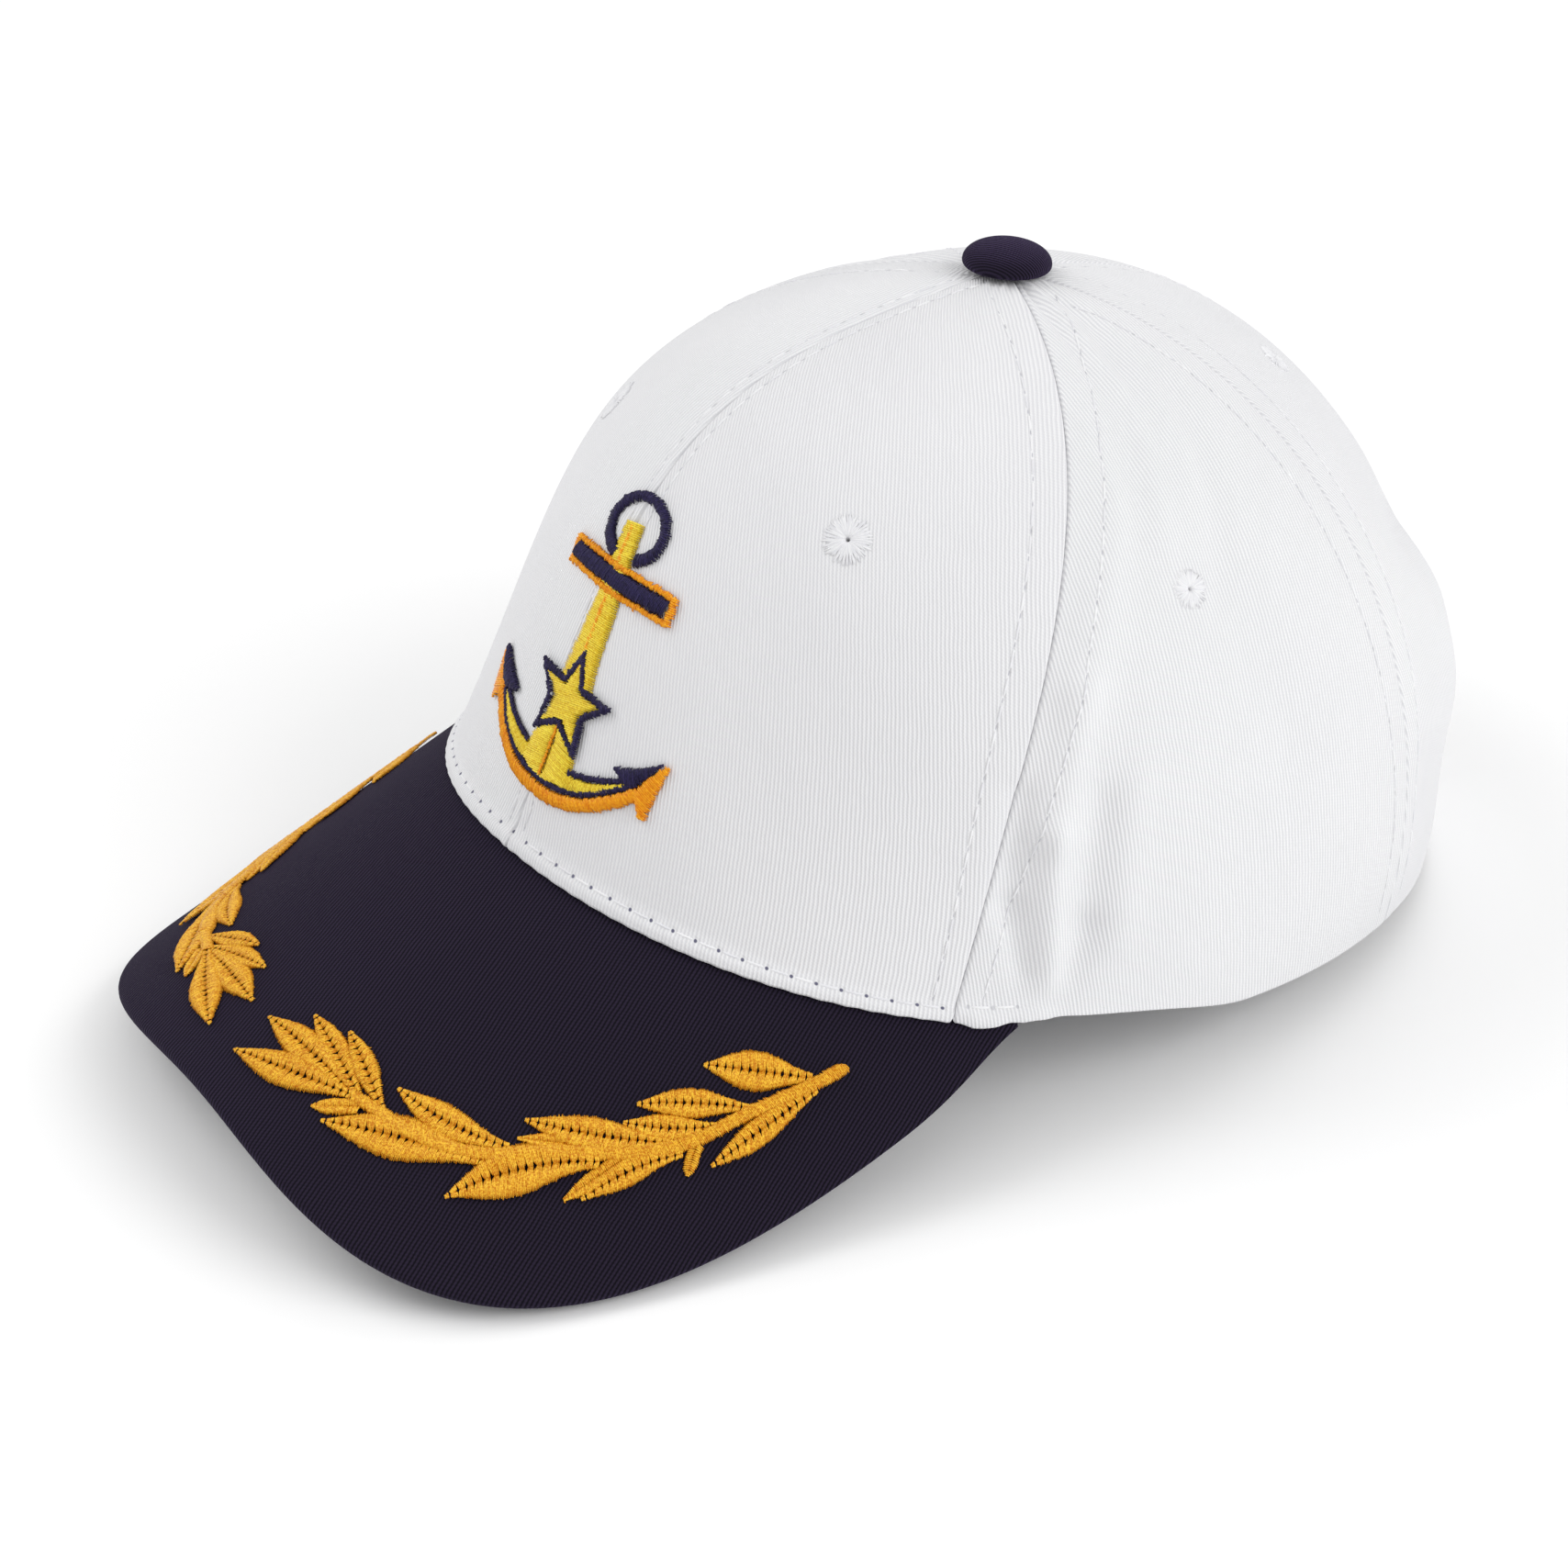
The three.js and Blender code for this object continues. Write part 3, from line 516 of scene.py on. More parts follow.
    def front_point(self, across: Array, up: Array, lift: Array) -> Array:
        """A point off the front of the crown, across from the centre seam and up from the rim."""
        turn, share = self.front_place(across, up)
        return self.crown_point(turn, share, lift)

    def laurel_point(self, across: Array, along: Array, lift: Array) -> Array:
        """A point off the visor, across along its bend and forward along its slope."""
        x = self.visor_bend * np.sin(across / self.visor_bend)
        return self.visor_point(x, -self.front - along * math.cos(math.radians(self.visor_slope)), lift)

    def settle(self, points: Array) -> Array:
        """Tips points of the upright cap to its resting pose.

        Args:
            points: Places in millimetres.

        Returns:
            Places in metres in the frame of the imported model.
        """
        c, s = math.cos(self.tip), math.sin(self.tip)
        y = points[..., 1] * c + points[..., 2] * s + self.shift
        z = points[..., 2] * c - points[..., 1] * s - self.floor
        return np.stack([points[..., 0], y, z], -1) * MM


FORM = CapForm()


class NodeBench:
    """Adds nodes to one node tree and joins them."""

    def __init__(self, tree: bpy.types.NodeTree) -> None:
        """Starts on an empty tree."""
        self.tree = tree
        tree.nodes.clear()

    def add(self, kind: str, settings: Optional[dict] = None, **inputs: object) -> bpy.types.Node:
        """Adds a node.

        Args:
            kind: Type name of the node.
            settings: Properties to set on it.
            inputs: Values or output sockets for its inputs; a name's underscores are spaces.

        Returns:
            The new node.
        """
        node = self.tree.nodes.new(kind)
        for key, value in (settings or {}).items():
            setattr(node, key, value)
        for key, value in inputs.items():
            self.feed(node.inputs[key.replace("_", " ")], value)
        return node

    def feed(self, socket: bpy.types.NodeSocket, value: object) -> None:
        """Joins an output to a socket, or sets the socket's own value.

        Args:
            socket: The input to feed.
            value: The output or the value that it gets.
        """
        if isinstance(value, bpy.types.NodeSocket):
            self.tree.links.new(value, socket)
        else:
            socket.default_value = value

    def math(self, operation: str, *values: object) -> bpy.types.NodeSocket:
        """Adds a math node and gives its output.

        Args:
            operation: Name of the operation.
            values: Its numbers or output sockets.

        Returns:
            The result's socket.
        """
        node = self.add("ShaderNodeMath", {"operation": operation})
        for socket, value in zip(node.inputs, (*values, 0.0, 0.0)):
            self.feed(socket, value)
        return node.outputs[0]

    def ease(self, value: object, low: float, high: float) -> bpy.types.NodeSocket:
        """Adds a smooth step from 0 at low to 1 at high.

        Args:
            value: What is eased.
            low: Where the step starts.
            high: Where the step ends.

        Returns:
            The result's socket.
        """
        settings = {"interpolation_type": "SMOOTHSTEP"}
        node = self.add("ShaderNodeMapRange", settings, Value=value, From_Min=low, From_Max=high)
        return node.outputs["Result"]

    def blend(self, share: object, first: object, second: object) -> bpy.types.NodeSocket:
        """Adds a mix of two colours and gives the result.

        Args:
            share: Share of the second colour.
            first: The first colour.
            second: The second colour.

        Returns:
            The result's socket.
        """
        node = self.tree.nodes.new("ShaderNodeMix")
        node.data_type = "RGBA"
        self.feed(node.inputs[0], share)
        for socket, colour in ((node.inputs[6], first), (node.inputs[7], second)):
            self.feed(socket, (*colour, 1.0) if isinstance(colour, tuple) else colour)
        return node.outputs[2]


def new_group(
    name: str, numbers: dict[str, float], outputs: Sequence[str]
) -> tuple[NodeBench, bpy.types.Node]:
    """Makes an empty shader node group that takes a vector and some numbers.

    Args:
        name: Name of the group.
        numbers: Its number inputs, with their first values.
        outputs: Names of its number outputs.

    Returns:
        A bench on the group and its input node.
    """
    tree = bpy.data.node_groups.new(name, "ShaderNodeTree")
    tree.interface.new_socket(name="Vector", in_out="INPUT", socket_type="NodeSocketVector")
    for label, value in numbers.items():
        socket = tree.interface.new_socket(name=label, in_out="INPUT", socket_type="NodeSocketFloat")
        socket.default_value = value
    for label in outputs:
        tree.interface.new_socket(name=label, in_out="OUTPUT", socket_type="NodeSocketFloat")
    bench = NodeBench(tree)
    return bench, bench.add("NodeGroupInput")


def new_material(name: str) -> tuple[bpy.types.Material, NodeBench]:
    """Makes an empty material.

    Args:
        name: Name of the material.

    Returns:
        The material and a bench on its nodes.
    """
    material = bpy.data.materials.new(name)
    material.use_nodes = True
    return material, NodeBench(material.node_tree)


def twill_group() -> bpy.types.NodeTree:
    """Builds the weave of twill: slanted ribs made of short floats with stray fibres, and a mask of the
    furrows between them for painted shade.

    Returns:
        The node group.
    """
    numbers = {"Pitch": 0.0008, "Wander": 0.12}
    bench, given = new_group("Twill weave", numbers, ("Height", "Furrow", "Cloud"))
    place = given.outputs["Vector"]
    drift = bench.add("ShaderNodeTexNoise", Vector=place, Scale=160.0, Detail=2.0)
    cloud = bench.add("ShaderNodeTexNoise", Vector=place, Scale=24.0, Detail=3.0)
    fibre = bench.add("ShaderNodeTexNoise", Vector=place, Scale=5200.0, Detail=1.0)
    parts = bench.add("ShaderNodeSeparateXYZ", Vector=place)
    across = bench.math("DIVIDE", parts.outputs["X"], given.outputs["Pitch"])
    sway = bench.math("SUBTRACT", drift.outputs["Fac"], 0.5)
    across = bench.math("MULTIPLY_ADD", sway, bench.math("MULTIPLY", given.outputs["Wander"], 6.0), across)
    rib = bench.math("SINE", bench.math("MULTIPLY", across, math.tau))
    rib = bench.math("MULTIPLY_ADD", rib, 0.5, 0.5)
    along = bench.math("DIVIDE", parts.outputs["Y"], given.outputs["Pitch"])
    floats = bench.math("MULTIPLY_ADD", across, 0.5, bench.math("MULTIPLY", along, 1.35))
    floats = bench.math("SINE", bench.math("MULTIPLY", floats, math.tau))
    floats = bench.math("MULTIPLY_ADD", floats, 0.5, 0.5)
    height = bench.math("MULTIPLY_ADD", bench.math("MULTIPLY", floats, rib), 0.25, rib)
    height = bench.math("MULTIPLY_ADD", fibre.outputs["Fac"], 0.35, height)
    raised = bench.math("MULTIPLY", rib, bench.math("MULTIPLY_ADD", floats, 0.5, 0.5))
    # Mask of the low furrows between the ribs, where the twill materials paint shade
    furrow = bench.math("SUBTRACT", 1.0, bench.ease(raised, 0.04, 0.6))
    bench.add("NodeGroupOutput", Height=height, Furrow=furrow, Cloud=cloud.outputs["Fac"])
    return bench.tree


def needle_group() -> bpy.types.NodeTree:
    """Builds a row of needle holes at a distance from an edge, where a stitch goes down every pitch: a mask
    of the holes for painted shade and the dip of their dents.

    Returns:
        The node group.
    """
    numbers = {"Row": 0.006, "Pitch": 0.0044, "Length": 0.0012, "Width": 0.0004}
    bench, given = new_group("Needle row", numbers, ("Hole", "Dip"))
    parts = bench.add("ShaderNodeSeparateXYZ", Vector=given.outputs["Vector"])
    away = bench.math("ABSOLUTE", bench.math("SUBTRACT", parts.outputs["X"], given.outputs["Row"]))
    along = bench.math("DIVIDE", parts.outputs["Y"], given.outputs["Pitch"])
    phase = bench.math("SUBTRACT", bench.math("FRACT", bench.math("ADD", along, 0.5)), 0.5)
    near = bench.math("MULTIPLY", bench.math("ABSOLUTE", phase), given.outputs["Pitch"])
    wide = bench.math("DIVIDE", away, bench.math("MULTIPLY", given.outputs["Width"], 0.5))
    long = bench.math("DIVIDE", near, bench.math("MULTIPLY", given.outputs["Length"], 0.5))
    squares = bench.math("ADD", bench.math("POWER", wide, 2.0), bench.math("POWER", long, 2.0))
    reach = bench.math("SQRT", squares)
    # Mask of each needle hole, where the twill materials paint shade
    hole = bench.math("SUBTRACT", 1.0, bench.ease(reach, 0.6, 1.15))
    dip = bench.math("SUBTRACT", 1.0, bench.ease(reach, 0.5, 3.0))
    bench.add("NodeGroupOutput", Hole=hole, Dip=dip)
    return bench.tree


WHITE = (0.84, 0.84, 0.85)
# Painted shade: colour of the furrows between the white twill's ribs
WHITE_FURROW_SHADE = (0.6, 0.6, 0.63)
# Painted shade in the needle holes: grey on the white twill, near black and bluish on the lip over the visor
WHITE_HOLE_SHADE = (0.42, 0.42, 0.47)
LIP_HOLE_SHADE = (0.06, 0.06, 0.13)
NAVY = (0.021, 0.015, 0.032)
# Painted shade: colour of the furrows between the navy twill's ribs
NAVY_FURROW_SHADE = (0.0035, 0.0025, 0.0055)
PURPLE = (0.45, 0.3, 0.8)

TWILL = twill_group()
NEEDLE = needle_group()


@dataclass(frozen=True)
class NeedleRow:
    """A row of needle holes that follows one UV map, with its sizes in millimetres, the colour of the painted
    shade in its holes, and a depth that sets both that shade's strength and the dent.
    """

    uv: str
    row: float
    pitch: float = 4.4
    length: float = 1.0
    width: float = 0.26
    colour: Colour = WHITE_HOLE_SHADE
    depth: float = 0.7


@dataclass(frozen=True)
class TwillFinish:
    """Cotton twill: ribs at an angle to the cloth's own UV map, with painted shade in its furrows and in its
    needle holes.
    """

    name: str
    colour: Colour
    furrow: Colour
    grain: float
    pitch: float = 0.73
    relief: float = 0.1
    sheen: float = 0.2
    sheen_tint: Colour = (1.0, 1.0, 1.0)
    furrow_share: float = 0.55
    rows: tuple[NeedleRow, ...] = ()

    def build(self) -> bpy.types.Material:
        """Makes the material.

        Returns:
            The material.
        """
        material, bench = new_material(self.name)
        cloth = bench.add("ShaderNodeUVMap", {"uv_map": "cloth"})
        angle = (0.0, 0.0, math.radians(self.grain))
        turned = bench.add("ShaderNodeMapping", Vector=cloth.outputs["UV"], Rotation=angle).outputs["Vector"]
        weave = bench.add("ShaderNodeGroup", {"node_tree": TWILL}, Vector=turned, Pitch=self.pitch * MM)
        # Painted shade in the furrows: the cloth's colour darkens towards the furrow colour
        share = bench.math("MULTIPLY", weave.outputs["Furrow"], self.furrow_share)
        colour = bench.blend(share, self.colour, self.furrow)
        # Random cloudy tone, drawn a little towards the same darker colour
        cloudy = bench.math("MULTIPLY", bench.ease(weave.outputs["Cloud"], 0.35, 0.75), 0.12)
        colour = bench.blend(cloudy, colour, self.furrow)
        height = weave.outputs["Height"]
        for row in self.rows:
            place = bench.add("ShaderNodeUVMap", {"uv_map": row.uv})
            holes = bench.add(
                "ShaderNodeGroup", {"node_tree": NEEDLE}, Vector=place.outputs["UV"], Row=row.row * MM,
                Pitch=row.pitch * MM, Length=row.length * MM, Width=row.width * MM,
            )
            # Painted shade in each needle hole, as strong as the row's depth
            colour = bench.blend(bench.math("MULTIPLY", holes.outputs["Hole"], row.depth), colour, row.colour)
            height = bench.math("MULTIPLY_ADD", holes.outputs["Dip"], -1.6 * row.depth, height)
        bump = bench.add("ShaderNodeBump", Height=height, Distance=self.relief * MM, Strength=1.0)
        surface = bench.add(
            "ShaderNodeBsdfPrincipled", Base_Color=colour, Normal=bump.outputs["Normal"], Roughness=0.9,
            Specular_IOR_Level=0.12, Sheen_Weight=self.sheen, Sheen_Tint=(*self.sheen_tint, 1.0),
            Sheen_Roughness=0.5,
        )
        bench.add("ShaderNodeOutputMaterial", Surface=surface.outputs["BSDF"])
        return material


@dataclass(frozen=True)
class ThreadFinish:
    """Sewing or embroidery thread, with a tone of its own on every strand, painted glints along its plies and
    painted shade at its ends.
    """

    name: str
    # light and dark: the tones that the random strands, the painted glints and the painted shade at the ends
    # mix
    light: Colour
    dark: Colour
    roughness: float = 0.5
    sheen: float = 0.15
    specular: float = 0.5
    gloss: Colour = (1.0, 1.0, 1.0)
    # Strength of the painted glints and of the painted shade at the threads' ends
    grain: float = 0.0

    def build(self) -> bpy.types.Material:
        """Makes the material.

        Returns:
            The material.
        """
        material, bench = new_material(self.name)
        strand = bench.add("ShaderNodeAttribute", {"attribute_name": "strand"}).outputs["Fac"]
        # Mask of the threads' ends, where they dip into the cloth and the colour takes painted shade
        end = bench.add("ShaderNodeAttribute", {"attribute_name": "end"}).outputs["Fac"]
        place = bench.add("ShaderNodeTexCoord").outputs["Object"]
        cloud, fibre, ply_glint_noise = (
            bench.add("ShaderNodeTexNoise", Vector=place, Scale=scale, Detail=detail).outputs["Fac"]
            for scale, detail in ((420.0, 2.0), (9000.0, 1.0), (2900.0, 1.0))
        )
        share = bench.math("MULTIPLY_ADD", cloud, 0.35, bench.math("MULTIPLY", strand, 0.6))
        # Painted glints: fine light and dark specks along the threads' plies, as strong as the grain
        ply_glint_share = bench.math("MULTIPLY", bench.ease(ply_glint_noise, 0.36, 0.64), self.grain)
        share = bench.math("MULTIPLY_ADD", bench.ease(share, 0.1, 0.9), 1 - self.grain, ply_glint_share)
        colour = bench.blend(share, self.light, self.dark)
        # Painted shade at the threads' ends, where they dip into the cloth, as strong as the grain
        colour = bench.blend(bench.math("MULTIPLY", end, self.grain), colour, self.dark)
        bump = bench.add("ShaderNodeBump", Height=fibre, Distance=0.04 * MM)
        surface = bench.add(
            "ShaderNodeBsdfPrincipled", Base_Color=colour, Normal=bump.outputs["Normal"],
            Roughness=self.roughness, Specular_IOR_Level=self.specular, Specular_Tint=(*self.gloss, 1.0),
            Sheen_Weight=self.sheen,
        )
        bench.add("ShaderNodeOutputMaterial", Surface=surface.outputs["BSDF"])
        return material


SEAM_ROW = 6.0
CENTRE_ROW = 2.4
LIP_ROW = 2.9
ARCH_ROW = 6.0
STITCH = 4.4

# Places of the finest grid lines beside a seam
SEAM_CELLS = (0.0, 0.12, 0.3, 0.55, 0.9, 1.4, 2.0, 2.6, 3.3, 4.1, 5.0, 5.8, 6.6, 7.5)

WHITE_THREAD = ThreadFinish("white thread", (0.87, 0.87, 0.88), (0.74, 0.74, 0.77), 0.7)
# The last number of each is its grain: the strength of its painted glints and of the painted shade at its
# ends
GOLD_THREAD = ThreadFinish(
    "gold thread", (1.0, 0.62, 0.05), (0.56, 0.16, 0.001), 0.32, 0.0, 0.8, (1.0, 0.75, 0.25), 0.65
)
YELLOW_THREAD = ThreadFinish(
    "yellow thread", (1.0, 0.84, 0.08), (0.7, 0.44, 0.01), 0.36, 0.0, 0.6, (1.0, 0.9, 0.4), 0.6
)
ORANGE_THREAD = ThreadFinish(
    "orange thread", (1.0, 0.5, 0.02), (0.74, 0.19, 0.002), 0.36, 0.0, 0.6, (1.0, 0.75, 0.3), 0.6
)
NAVY_THREAD = ThreadFinish(
    "navy thread", (0.034, 0.026, 0.1), (0.005, 0.003, 0.018), 0.4, 0.0, 0.3, (0.8, 0.75, 1.0), 0.6
)


def white_twill(piece: str, grain: float, rows: tuple[NeedleRow, ...] = ()) -> bpy.types.Material:
    """Builds the white twill of a piece."""
    name = f"white twill, {piece.replace('_', ' ')}"
    return TwillFinish(name, WHITE, WHITE_FURROW_SHADE, grain, rows=rows).build()


def navy_twill(piece: str, grain: float, pitch: float, relief: float, sheen: float) -> bpy.types.Material:
    """Builds the navy twill of a piece."""
    name = f"navy twill, {piece}"
    # The navy twill takes the full painted shade in its furrows
    return TwillFinish(name, NAVY, NAVY_FURROW_SHADE, grain, pitch, relief, sheen, PURPLE, furrow_share=1.0).build()


def slab(
    across: Array,
    up: Array,
    thickness: float,
    soft: Callable[[Vector], bool],
    radius: float,
    segments: int = 3,
) -> bmesh.types.BMesh:
    """Cuts a flat slab with grid lines at given places and rounds some of its edges.

    Args:
        across: Places of the grid lines along X.
        up: Places of the grid lines along Y.
        thickness: Thickness below the plane of Z = 0.
        soft: Tells from an edge's middle point whether it is one of the border edges to round.
        radius: Radius of the rounded edges.
        segments: Steps round each rounded edge.

    Returns:
        The slab, with its pattern place kept on every vertex.
    """
    cloth = bmesh.new()
    bmesh.ops.create_grid(cloth, x_segments=len(across) - 1, y_segments=len(up) - 1, size=0.5)
    for vert in cloth.verts:
        column = round((vert.co.x + 0.5) * (len(across) - 1))
        row = round((vert.co.y + 0.5) * (len(up) - 1))
        vert.co = (across[column], up[row], 0.0)
    bmesh.ops.solidify(cloth, geom=cloth.faces[:], thickness=thickness)
    top = max(vert.co.z for vert in cloth.verts)
    for vert in cloth.verts:
        vert.co.z -= top
    edges = []
    for edge in cloth.edges:
        a, b = edge.verts[0].co, edge.verts[1].co
        flat = abs(a.z - b.z) < 1e-4
        if flat and any(abs(face.normal.z) < 0.5 for face in edge.link_faces) and soft((a + b) / 2):
            edges.append(edge)
    if edges:
        bmesh.ops.bevel(
            cloth, geom=edges, offset=radius, segments=segments, profile=0.5, affect="EDGES", material=-1
        )
    pattern = cloth.verts.layers.float_vector.new("pattern")
    for vert in cloth.verts:
        vert[pattern] = vert.co
    return cloth


def pattern_of(cloth: bmesh.types.BMesh) -> Array:
    """Pattern places of a slab's vertices, in their order."""
    return np.array([tuple(vert.co) for vert in cloth.verts])


def move_to(cloth: bmesh.types.BMesh, places: Array) -> None:
    """Moves every vertex of a slab to its place."""
    for vert, place in zip(cloth.verts, places):
        vert.co = place


def pierce(cloth: bmesh.types.BMesh, centre: Array, normal: Array, radius: float) -> None:
    """Cuts a round hole through a shaped slab and walls it.

    Args:
        cloth: The slab.
        centre: Middle of the hole.
        normal: Direction of its axis.
        radius: Its radius.
    """
    middle, axis = Vector(centre), Vector(normal)

    def away(point: Vector) -> float:
        """Distance of a point from the hole's axis, or a large number far off the cloth.

        Args:
            point: Place of the point.

        Returns:
            The distance in metres.
        """
        offset = point - middle
        height = offset.dot(axis)
        return (offset - height * axis).length if abs(height) < 4 * MM else 1.0

    inside = [face for face in cloth.faces if away(face.calc_center_median()) < radius]
    bmesh.ops.delete(cloth, geom=inside, context="FACES")
    border = [edge for edge in cloth.edges if edge.is_boundary]
    for vert in {vert for edge in border for vert in edge.verts}:
        offset = vert.co - middle
        height = offset.dot(axis)
        flat = (offset - height * axis).normalized()
        vert.co = middle + height * axis + radius * flat
    bmesh.ops.bridge_loops(cloth, edges=border)


def to_mesh(cloth: bmesh.types.BMesh, name: str) -> bpy.types.Mesh:
    """Makes a smooth-shaded mesh from a closed body, with its faces outward.

    Args:
        cloth: The body.
        name: Name of the mesh.

    Returns:
        The mesh.
    """
    bmesh.ops.recalc_face_normals(cloth, faces=cloth.faces[:])
    if cloth.calc_volume(signed=True) < 0:
        bmesh.ops.reverse_faces(cloth, faces=cloth.faces[:])
    for face in cloth.faces:
        face.smooth = True
    mesh = bpy.data.meshes.new(name)
    cloth.to_mesh(mesh)
    cloth.free()
    return mesh


def read_pattern(mesh: bpy.types.Mesh) -> Array:
    """Pattern places kept on a mesh's vertices.

    Args:
        mesh: The mesh.

    Returns:
        A row for each vertex.
    """
    values = np.zeros(len(mesh.vertices) * 3)
    mesh.attributes["pattern"].data.foreach_get("vector", values)
    return values.reshape(-1, 3)


def lay_uv(mesh: bpy.types.Mesh, name: str, places: Array) -> None:
    """Adds a UV map.

    Args:
        mesh: The mesh.
        name: Name of the map.
        places: A pair of millimetre lengths for each vertex.
    """
    corner = np.zeros(len(mesh.loops), dtype=np.int32)
    mesh.loops.foreach_get("vertex_index", corner)
    layer = mesh.uv_layers.new(name=name)
    layer.data.foreach_set("uv", (places[corner] * MM).astype(np.float32).ravel())


def show(
    name: str, mesh: bpy.types.Mesh, materials: Sequence[bpy.types.Material], slot: str, *nodes: str
) -> bpy.types.Object:
    """Puts a finished mesh in the scene as a piece.

    Args:
        name: Name of the piece.
        mesh: Its mesh, placed in metres.
        materials: Its materials.
        slot: Not used.
        nodes: CAD nodes that it stands for.

    Returns:
        The new object.
    """
    for material in materials:
        mesh.materials.append(material)
    piece = bpy.data.objects.new(name, mesh)
    bpy.context.scene.collection.objects.link(piece)
    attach(piece, "root")
    if nodes:
        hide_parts(*nodes)
    log.info("%s: %d faces", name, len(mesh.polygons))
    return piece


class Strands:
    """Many short threads in one mesh, each a thin tube with closed ends."""

    def __init__(self, sides: int = 5, rings: int = 5) -> None:
        """Makes the one thread that is repeated.

        Args:
            sides: Faces round the thread.
            rings: Stations along it.
        """
        self.rings = rings
        tube = bmesh.new()
        bmesh.ops.create_cone(tube, cap_ends=True, segments=sides, radius1=1.0, radius2=1.0, depth=1.0)
        long = [edge for edge in tube.edges if abs(edge.verts[0].co.z - edge.verts[1].co.z) > 0.5]
        bmesh.ops.subdivide_edges(tube, edges=long, cuts=rings - 2)
        shape = np.array([tuple(vert.co) for vert in tube.verts])
        self.ring = np.rint((shape[:, 2] + 0.5) * (rings - 1)).astype(int)
        self.spoke = shape[:, :2]
        tube.verts.index_update()
        self.faces = [[vert.index for vert in face.verts] for face in tube.faces]
        tube.free()
        self.paths: list[Array] = []
        self.ups: list[Array] = []
        self.widths: list[Array] = []
        self.colours: list[Array] = []

    def lay(self, paths: Array, ups: Array, radius: float, colour: int = 0) -> None:
        """Adds threads.

        Args:
            paths: Stations of each thread, in millimetres.
            ups: Direction off the cloth at each station.
            radius: Radius of a thread.
            colour: Index of its material.
        """
        taper = np.full(self.rings, 1.0)
        taper[[0, -1]] = 0.6
        self.paths.append(paths)
        self.ups.append(ups)
        self.widths.append(np.tile(radius * taper, (len(paths), 1)))
        self.colours.append(np.full(len(paths), colour))

    def mesh(self, name: str, seed: int = 1) -> bpy.types.Mesh:
        """Makes the mesh of all threads, with a random number for each in strand and their ends in end, a
        mask where the thread materials paint shade.

        Args:
            name: Name of the mesh.
            seed: Start of the random draws.

        Returns:
            The mesh.
        """
        paths, ups = np.concatenate(self.paths), np.concatenate(self.ups)
        widths, colours = np.concatenate(self.widths), np.concatenate(self.colours)
        tangent = unit(np.gradient(paths, axis=1))
        side = unit(np.cross(tangent, ups))
        over = np.cross(side, tangent)
        width = widths[:, self.ring, None]
        spoke = side[:, self.ring] * self.spoke[:, 0, None] + over[:, self.ring] * self.spoke[:, 1, None]
        points = FORM.settle(paths[:, self.ring] + width * spoke).reshape(-1, 3)
        size = len(self.ring)
        faces = [[start + k for k in face] for start in range(0, len(points), size) for face in self.faces]
        mesh = bpy.data.meshes.new(name)
        mesh.from_pydata(points.tolist(), [], faces)
        shades = np.random.default_rng(seed).random(len(paths))
        mesh.attributes.new("strand", "FLOAT", "POINT").data.foreach_set("value", np.repeat(shades, size))
        # Mask of each thread's ends, 0 in its middle and 1 at either end, for painted shade
        ends = np.tile(np.abs(2 * self.ring / (self.rings - 1) - 1) ** 2, len(paths))
        mesh.attributes.new("end", "FLOAT", "POINT").data.foreach_set("value", ends)
        mesh.polygons.foreach_set("material_index", np.repeat(colours, len(self.faces)).astype(np.int32))
        mesh.polygons.foreach_set("use_smooth", np.ones(len(mesh.polygons), dtype=bool))
        mesh.update()
        return mesh


def show_stitches(piece: str, stitches: Strands, thread: bpy.types.Material) -> bpy.types.Object:
    """Shows the topstitching of a piece."""
    name = f"{piece}_topstitching"
    return show(name, stitches.mesh(name), [thread], "white_thread")


def topstitch(strands: Strands, line: Line, start: float, end: float, radius: float = 0.2) -> None:
    """Sews a row of stitches that go down at every pitch.

    Args:
        strands: Where the threads go.
        line: Gives points and normals of the cloth at lengths along the row.
        start: First length.
        end: Last length.
        radius: Radius of the thread.
    """
    first = np.arange(math.ceil(start / STITCH), math.floor(end / STITCH)) * STITCH
    if len(first) == 0:
        return
    share, lift = np.array([(0.07, -0.35), (0.22, 0.0), (0.5, 0.04), (0.78, 0.0), (0.93, -0.35)]).T
    points, normals = line(first[:, None] + STITCH * share[None, :])
    strands.lay(points + lift[None, :, None] * normals, normals, radius)


@dataclass(frozen=True)
class Sewing:
    """What sewing does to the cloth's outer face: depths, heights and spreads in millimetres."""

    seam_depth: float = 0.42
    seam_spread: float = 0.24
    swell: float = 0.03
    row_depth: float = 0.1
    row_spread: float = 0.8
    lip_puff: float = 0.9
    lip_turn: float = 0.5
    lip_row_depth: float = 0.3
    lip_row_spread: float = 0.45
    lip_wave: float = 0.07
    bunch: float = 0.8
    bunch_turn: float = 55.0
    bunch_spread: float = 2.0
    gather: float = 0.11
    gather_radius: float = 8.5
    gather_spread: float = 4.5
    hem_swell: float = 0.35
    hem_depth: float = 0.2
    seam_gap: float = 0.04
    eyelet_radius: float = 1.3


SEWING = Sewing()


